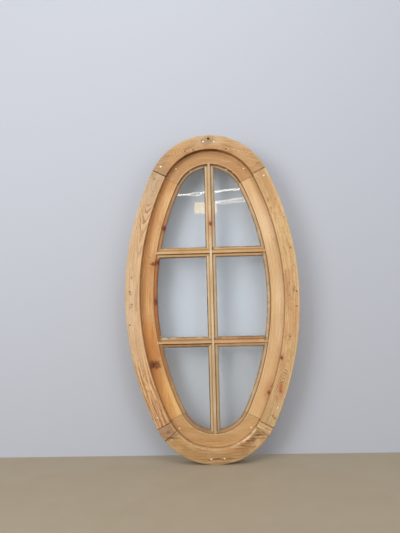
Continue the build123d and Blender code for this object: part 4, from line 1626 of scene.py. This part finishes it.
@dataclass
class Glazing(SubAssembly):
    """Six panes of drawn glass with slow waves, and the hand-run putty behind them."""

    web_half: float = 9.0
    bar_height: float = 169.2
    wall_inset: float = 108.0
    glass_margin: float = 1.0
    glass_front: float = 12.0
    glass_back: float = 15.0
    wave: float = 0.025
    wave_room: float = 0.12
    putty_margin: float = 0.25
    putty_gap: float = 0.1
    putty_bed: float = 8.0
    putty_rim: float = 1.4
    putty_back: float = 28.4
    glass: OldGlass = OldGlass()
    putty: AgedSurface = AgedSurface(
        "aged putty", (204, 194, 172), (172, 158, 134), (138, 124, 102), 18.0, (0.7, 0.88)
    )

    def sides(self, light: Light, margin: float, across: int, steps: int) -> list[np.ndarray]:
        """Sides of a light's outline, moved inwards by a margin, in the upper or middle right light.

        The straight sides are lines beside the bars. The curved side is the oval at its inset, with
        equal steps of turn on the side arc and on the end arc.

        Args:
            light: Which light.
            margin: How far the outline is moved inwards.
            across: Steps on each straight side.
            steps: Steps on a third of the curved side.

        Returns:
            Points of the lower side, the curved side, the upper side and the bar side, in turn
            round the light, each without its last point.
        """
        edge, inset = self.web_half + margin, self.wall_inset + margin
        level = self.bar_height + (edge if light.row else -edge)
        start = asin(level / (OVAL.side_radius - inset))
        if light.row:
            low, tangent, top = level, radians(OVAL.tangent), acos(edge / (OVAL.end_radius - inset))
            on_side = np.linspace(start, tangent, steps, endpoint=False)
            turns = np.concatenate([on_side, np.linspace(tangent, top, 2 * steps + 1)])
        else:
            low, turns = -level, np.linspace(-start, start, 3 * steps + 1)
        curved = OVAL.arc(turns, inset)
        corner = (edge, curved[-1][1])
        ends = (((edge, low), curved[0]), (curved[-1], corner), (corner, (edge, low)))
        lower, upper, bar_side = (np.linspace(*pair, across, endpoint=False) for pair in ends)
        return [lower, curved[:-1], upper, bar_side]

    @staticmethod
    def grid_faces(rows: int, around: int, closed_rows: bool) -> np.ndarray:
        """Four-cornered faces of a grid whose points close round each row, and over the rows or not."""
        row = np.arange(rows if closed_rows else rows - 1)[:, None]
        point = np.arange(around)[None, :]
        next_row, next_point = (row + 1) % rows, (point + 1) % around
        pairs = ((row, point), (row, next_point), (next_row, next_point), (next_row, point))
        return np.stack([at * around + number for at, number in pairs], axis=2).reshape(-1, 4)

    def pane_mesh(self, light: Light, seed: int) -> Grid:
        """Points and faces of a pane.

        A point of the sheet is a share of the way across from the bar side to the curved side, on
        a row that is a share of the way up both. Front and back are the glass's depths plus a sum
        of plane sine waves, and loop together round the section; both end rows are capped.

        Args:
            light: Which light.
            seed: Which set of waves.

        Returns:
            The points and the faces.
        """
        _, curved, upper, bar_side = self.sides(light, self.glass_margin, 8, 12)
        curved = np.vstack([curved, upper[:1]])
        edge = bar_side[0][0]
        straight = np.linspace((edge, curved[0][1]), (edge, curved[-1][1]), len(curved))
        share = np.linspace(0.0, 1.0, 25)[None, :, None]
        sheet = straight[:, None, :] * (1 - share) + curved[:, None, :] * share
        x, z = sheet[..., 0], sheet[..., 1]
        lengths = (170.0, 96.0, 61.0, 37.0)
        front = self.glass_front + self.wave_room + sine_waves(x, z, seed, lengths, self.wave)
        back = self.glass_back - self.wave_room + sine_waves(x, z, seed + 50, lengths, self.wave)
        layers = [np.stack([x, front, z], axis=2), np.stack([x, back, z], axis=2)[:, ::-1]]
        loop = np.concatenate(layers, axis=1)
        rows, around = loop.shape[:2]
        step = np.arange(around // 2 - 1)
        faces = [self.grid_faces(rows, around, closed_rows=False)]
        for start in (0, (rows - 1) * around):
            near, far = start + step, start + around - 1 - step
            faces.append(np.stack([near, near + 1, far - 1, far], axis=1))
        return loop.reshape(-1, 3), np.vstack(faces)

    def putty_mesh(self, light: Light, seed: int) -> Grid:
        """Points and faces of a run of putty.

        The section is carried round the light's outline: each of its points is the outline moved
        inwards by the point's margin, at the point's depth, so that the corners are mitred. The
        bevel is a little hollow. Margin and depth wander by sine waves along the run, as the knife
        left them, more on the bevel than where the putty meets the wood.

        Args:
            light: Which light.
            seed: Which set of waves.

        Returns:
            The points and the faces.
        """
        across, steps, bevel_points = 30, 30, 7
        front = self.glass_back + self.putty_gap
        share = np.linspace(0.0, 1.0, bevel_points)
        bevel = self.putty_bed - (self.putty_bed - self.putty_rim) * share - 0.5 * np.sin(np.pi * share)
        depth = front + (self.putty_back - self.glass_back - 0.4) * share
        section = [
            (self.putty_margin, front, 0.0), (self.putty_bed / 2, front, 0.0),
            *zip(bevel, depth, (0.7, 1.0, 1.0, 1.0, 1.0, 1.0, 0.25)), (self.putty_margin, depth[-1], 0.0),
        ]
        rings = []
        for number, (margin, depth, loose) in enumerate(section):
            line = np.vstack(self.sides(light, float(margin), across, steps))
            if light.row:
                tip = across + 3 * steps
                line = np.delete(line, slice(tip, tip + across - 1), axis=0)
            run = np.linspace(0.0, 2 * np.pi, len(line), endpoint=False)
            chance = np.random.default_rng(seed + (0 if number in (2, 3) else number // 2))
            wander = sum(
                np.sin(run * waves + chance.uniform(0, 2 * np.pi)) / waves**0.4
                for waves in (3, 7, 13, 24, 41)
            )
            inward = line.mean(axis=0) - line
            inward /= np.linalg.norm(inward, axis=1)[:, None]
            line = line + inward * (0.35 * loose * wander)[:, None]
            level = np.clip(depth + 0.22 * loose * np.roll(wander, 9), front, self.putty_back)
            rings.append(np.stack([line[:, 0], level, line[:, 1]], axis=1))
        grid = np.stack(rings)
        return grid.reshape(-1, 3), self.grid_faces(*grid.shape[:2], closed_rows=True)

    def build(self) -> None:
        """Build and dress the panes and the putty."""
        for number, (row, side) in enumerate(product((1, 0, -1), (-1, 1))):
            light = Light(side, row)
            points, faces = self.pane_mesh(light, 10 + number)
            pane = closed_piece(
                "wavy_pane_" + light.name, light.placed(points), faces, "pane_" + light.name
            )
            pane.visible_shadow = False
            self.finish(pane, self.glass)
            points, faces = self.putty_mesh(light, 100 + 10 * number)
            run = closed_piece(
                "putty_run_" + light.name, light.placed(points), faces, "putty_" + light.name
            )
            self.finish(run, self.putty)


@dataclass
class Fixings(SubAssembly):
    """Pegs and plugs in the ring and the sash, and the dowels, tongues, sprigs and screws."""

    ring_joint: float = 27.5
    ring_peg_inset: float = 20.0
    sash_joint: float = 26.5
    sash_peg_inset: float = 66.0
    steel: AgedSurface = AgedSurface(
        "dull steel", (150, 146, 140), (104, 66, 42), (86, 70, 58), 2.0, (0.42, 0.82), (0.95, 0.1), 0.0002
    )
    tongue_wood: Pine = Pine(
        "tongue hardwood",
        Board(UPRIGHT, 290, follow=1.0, ring_width=1.2, seed=21.0),
        PineTones((150, 108, 68), late=0.4),
    )

    @staticmethod
    def pegs(joint: float, inset: float, radius: float, *rows: tuple[int, int, float, float]) -> Marks:
        """Pegs by a joint, from rows of side, end, distance past the joint and strength."""
        found = (
            (side, end, OVAL.past_joint(joint, past, inset), strength) for side, end, past, strength in rows
        )
        return tuple(Mark(side * x, end * z, radius, strength) for side, end, (x, z), strength in found)

    def build(self) -> None:
        """Dress the fixings."""
        ring_pegs = self.pegs(
            self.ring_joint, self.ring_peg_inset, 3.956,
            (-1, 1, 27.0, 1.0), (-1, 1, -26.0, 0.0), (1, 1, 27.0, 0.0), (1, 1, -26.0, 1.0),
            (-1, -1, 57.0, 0.3), (-1, -1, -38.0, 0.75), (1, -1, 20.0, 0.25), (1, -1, -38.0, 0.0),
        )
        sash_pegs = self.pegs(
            self.sash_joint, self.sash_peg_inset, 3.6,
            (-1, 1, 52.0, 0.9), (1, 1, 42.0, 0.9), (-1, -1, 42.0, 0.9), (1, -1, 42.0, 0.9),
        )
        plugs = marks(
            (-18.5, 586.2, 3.5), (21.5, 585.9, 3.5), (-17.5, -590.3, 3.5), (30.5, -588.9, 3.5),
            (229.0, -410.0, 3.5),
        )
        hidden = [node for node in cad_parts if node.startswith(("tongue_", "bar_dowels"))]
        self.dress({
            "frame_pegs": PegEnds("ring peg ends", ring_pegs),
            "frame_plugs": PegEnds("plug ends", plugs),
            "sash_pegs": PegEnds("sash peg ends", sash_pegs),
            **dict.fromkeys(hidden, self.tongue_wood),
            "glazing_sprigs": self.steel,
            "sash_screws": self.steel,
        })


@dataclass(frozen=True)
class Lamp:
    """Soft rectangular lamp: its place and size in metres, its watts and its linear colour."""

    name: str
    place: Seen
    size: Span
    power: float
    colour: Seen


@dataclass(frozen=True)
class Strip:
    """Thin lamp behind the camera that the glass mirrors, as a line between two points on a pane."""

    name: str
    ends: tuple[Span, Span]
    thickness: float
    power: float
    colour: Seen


@dataclass
class Studio:
    """Floor, backdrop, lamps, sky and camera round the window."""

    floor_height: float = -612.0
    wall_depth: float = 92.0
    reach: float = 4000.0
    glass_depth: float = 12.0
    strip_depth: float = -3000.0
    lamps: tuple[Lamp, ...] = (
        Lamp("key lamp", (-1.9, -2.6, 0.8), (1.5, 1.5), 46.0, (1.0, 0.97, 0.92)),
        Lamp("ceiling lamp", (0.0, -1.8, 2.4), (2.0, 2.0), 36.0, (1.0, 0.97, 0.93)),
        Lamp("fill lamp", (1.8, -2.8, 0.3), (1.6, 1.6), 18.0, (1.0, 0.98, 0.95)),
    )
    strips: tuple[Strip, ...] = (
        Strip("long strip", ((-130.0, 391.0), (124.0, 410.0)), 6.0, 0.34, (1.0, 0.92, 0.80)),
        Strip("short strip", ((21.0, 363.0), (150.0, 372.0)), 9.0, 0.18, (1.0, 0.90, 0.74)),
        Strip("warm card", ((-60.0, 342.0), (27.0, 342.0)), 46.0, 0.38, (1.0, 0.64, 0.10)),
    )
    camera_place: Seen = (23.58, -1889.14, -3.45)
    camera_turn: Seen = (93.589, 1.383, 2.091)
    lens: float = 33.77

    def build(self) -> None:
        """Build the whole studio."""
        bpy.context.scene.view_settings.view_transform = "Standard"
        for add in (self.add_floor, self.add_wall, self.add_lamps, self.add_sky, self.add_camera):
            add()

    @staticmethod
    def sheet(surface: Surface, corners: Sequence[Seen]) -> bpy.types.Object:
        """One flat staged rectangle from its corners in millimetres, in a material of its name."""
        mesh = bpy.data.meshes.new(surface.material.name)
        mesh.from_pydata((np.array(corners) * MM).tolist(), [], [(0, 1, 2, 3)])
        mesh.materials.append(surface.material)
        piece = linked(mesh.name, mesh)
        piece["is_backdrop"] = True
        return piece

    def add_floor(self) -> None:
        """Plain pale floor that the window stands on."""
        r, h = self.reach, self.floor_height
        w = Surface.start("floor")
        speckle = w.noise(w.millimetres(), 0.01, 3.0)
        w.finish({"Base Color": w.blend(speckle, (160, 147, 126), (168, 156, 137)), "Roughness": 0.8})
        self.sheet(w, [(-r, -r, h), (r, -r, h), (r, r, h), (-r, r, h)])

    def add_wall(self) -> None:
        """Plain pale backdrop that only catches shadows, and is clear from behind."""
        w = Surface.start("backdrop")
        w.finish({"Base Color": linear((184, 190, 203)), "Roughness": 0.85})
        behind = w.get("NewGeometry", output="Backfacing")
        front, clear = Wire(w, w.shader.outputs[0]), w.get("BsdfTransparent")
        ending = w.tree.nodes["Material Output"]
        w.feed(ending.inputs["Surface"], w.get("MixShader", {0: behind, 1: front, 2: clear}))
        r, y, low = self.reach, self.wall_depth, self.floor_height
        wall = self.sheet(w, [(-r, y, low), (r, y, low), (r, y, low + r), (-r, y, low + r)])
        wall.visible_shadow = wall.visible_diffuse = wall.visible_glossy = False

    def add_lamp(self, lamp: Lamp) -> bpy.types.Object:
        """Hang a soft lamp, aimed at the window's middle and unseen by the camera itself.

        Args:
            lamp: Which lamp.

        Returns:
            Its object.
        """
        light = bpy.data.lights.new(lamp.name, "AREA")
        light.shape = "RECTANGLE"
        light.size, light.size_y = lamp.size
        light.energy, light.color = lamp.power, lamp.colour
        holder = linked(lamp.name, light)
        holder.location = lamp.place
        holder.rotation_euler = (-Vector(lamp.place)).to_track_quat("-Z", "Y").to_euler()
        holder.visible_camera = False
        LOG.info("%s: %.2f W", lamp.name, lamp.power)
        return holder

    def add_lamps(self) -> None:
        """Key lamp at the upper left, ceiling lamp and weak fill, and what the glass mirrors.

        A strip is where the camera's mirror image looks through its line on the glass, and larger
        than that line in proportion to its distance.
        """
        for lamp in self.lamps:
            self.add_lamp(lamp)
        x, y, z = self.camera_place
        image = 2 * self.glass_depth - y
        scale = (image - self.strip_depth) / (image - self.glass_depth)
        for strip in self.strips:
            start, end = (
                MM * Vector((x + scale * (across - x), self.strip_depth, z + scale * (up - z)))
                for across, up in strip.ends
            )
            middle, along = (start + end) / 2, end - start
            size = (along.length, strip.thickness * scale * MM)
            holder = self.add_lamp(Lamp(strip.name, middle.to_tuple(), size, strip.power, strip.colour))
            holder.rotation_euler = (radians(90), -atan2(along.z, along.x), 0.0)

    def add_sky(self) -> None:
        """Pale world: the backdrop's colour for what looks at it, softer light for the rest."""
        world = bpy.data.worlds.new("studio")
        bpy.context.scene.world = world
        world.use_nodes = True
        w = Wiring(world.node_tree)
        rays = w.add("LightPath").outputs
        kinds = ("Camera", "Glossy", "Transmission")
        camera, glossy, passing = (Wire(w, rays[f"Is {kind} Ray"]) for kind in kinds)
        seen = w.math("MAXIMUM", w.math("MAXIMUM", camera, glossy), passing)
        colour = w.blend(seen, (0.48, 0.48, 0.48, 1.0), (204, 209, 217))
        w.feed(w.tree.nodes["Background"].inputs["Color"], colour)

    def add_camera(self) -> None:
        """Camera at the photograph's angle."""
        camera = bpy.data.cameras.new("camera")
        camera.lens, camera.sensor_width = self.lens, 36.0
        holder = linked("camera", camera)
        holder.location = MM * Vector(self.camera_place)
        holder.rotation_euler = [radians(value) for value in self.camera_turn]
        bpy.context.scene.camera = holder


def main() -> None:
    """Build and dress every sub-assembly, and set the studio round the window."""
    logging.basicConfig(level=logging.INFO, format="%(message)s")
    effects = Effects()
    for kind in (Ring, Sash, GlazingBars, Glazing, Fixings):
        LOG.info("building the %s", kind.__name__)
        kind(effects).build()
    Studio().build()
    boxes = {"cad": cad_box, "visual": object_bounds()}
    {name: [list(corner) for corner in box] for name, box in boxes.items()}


if __name__ == "__main__":
    main()
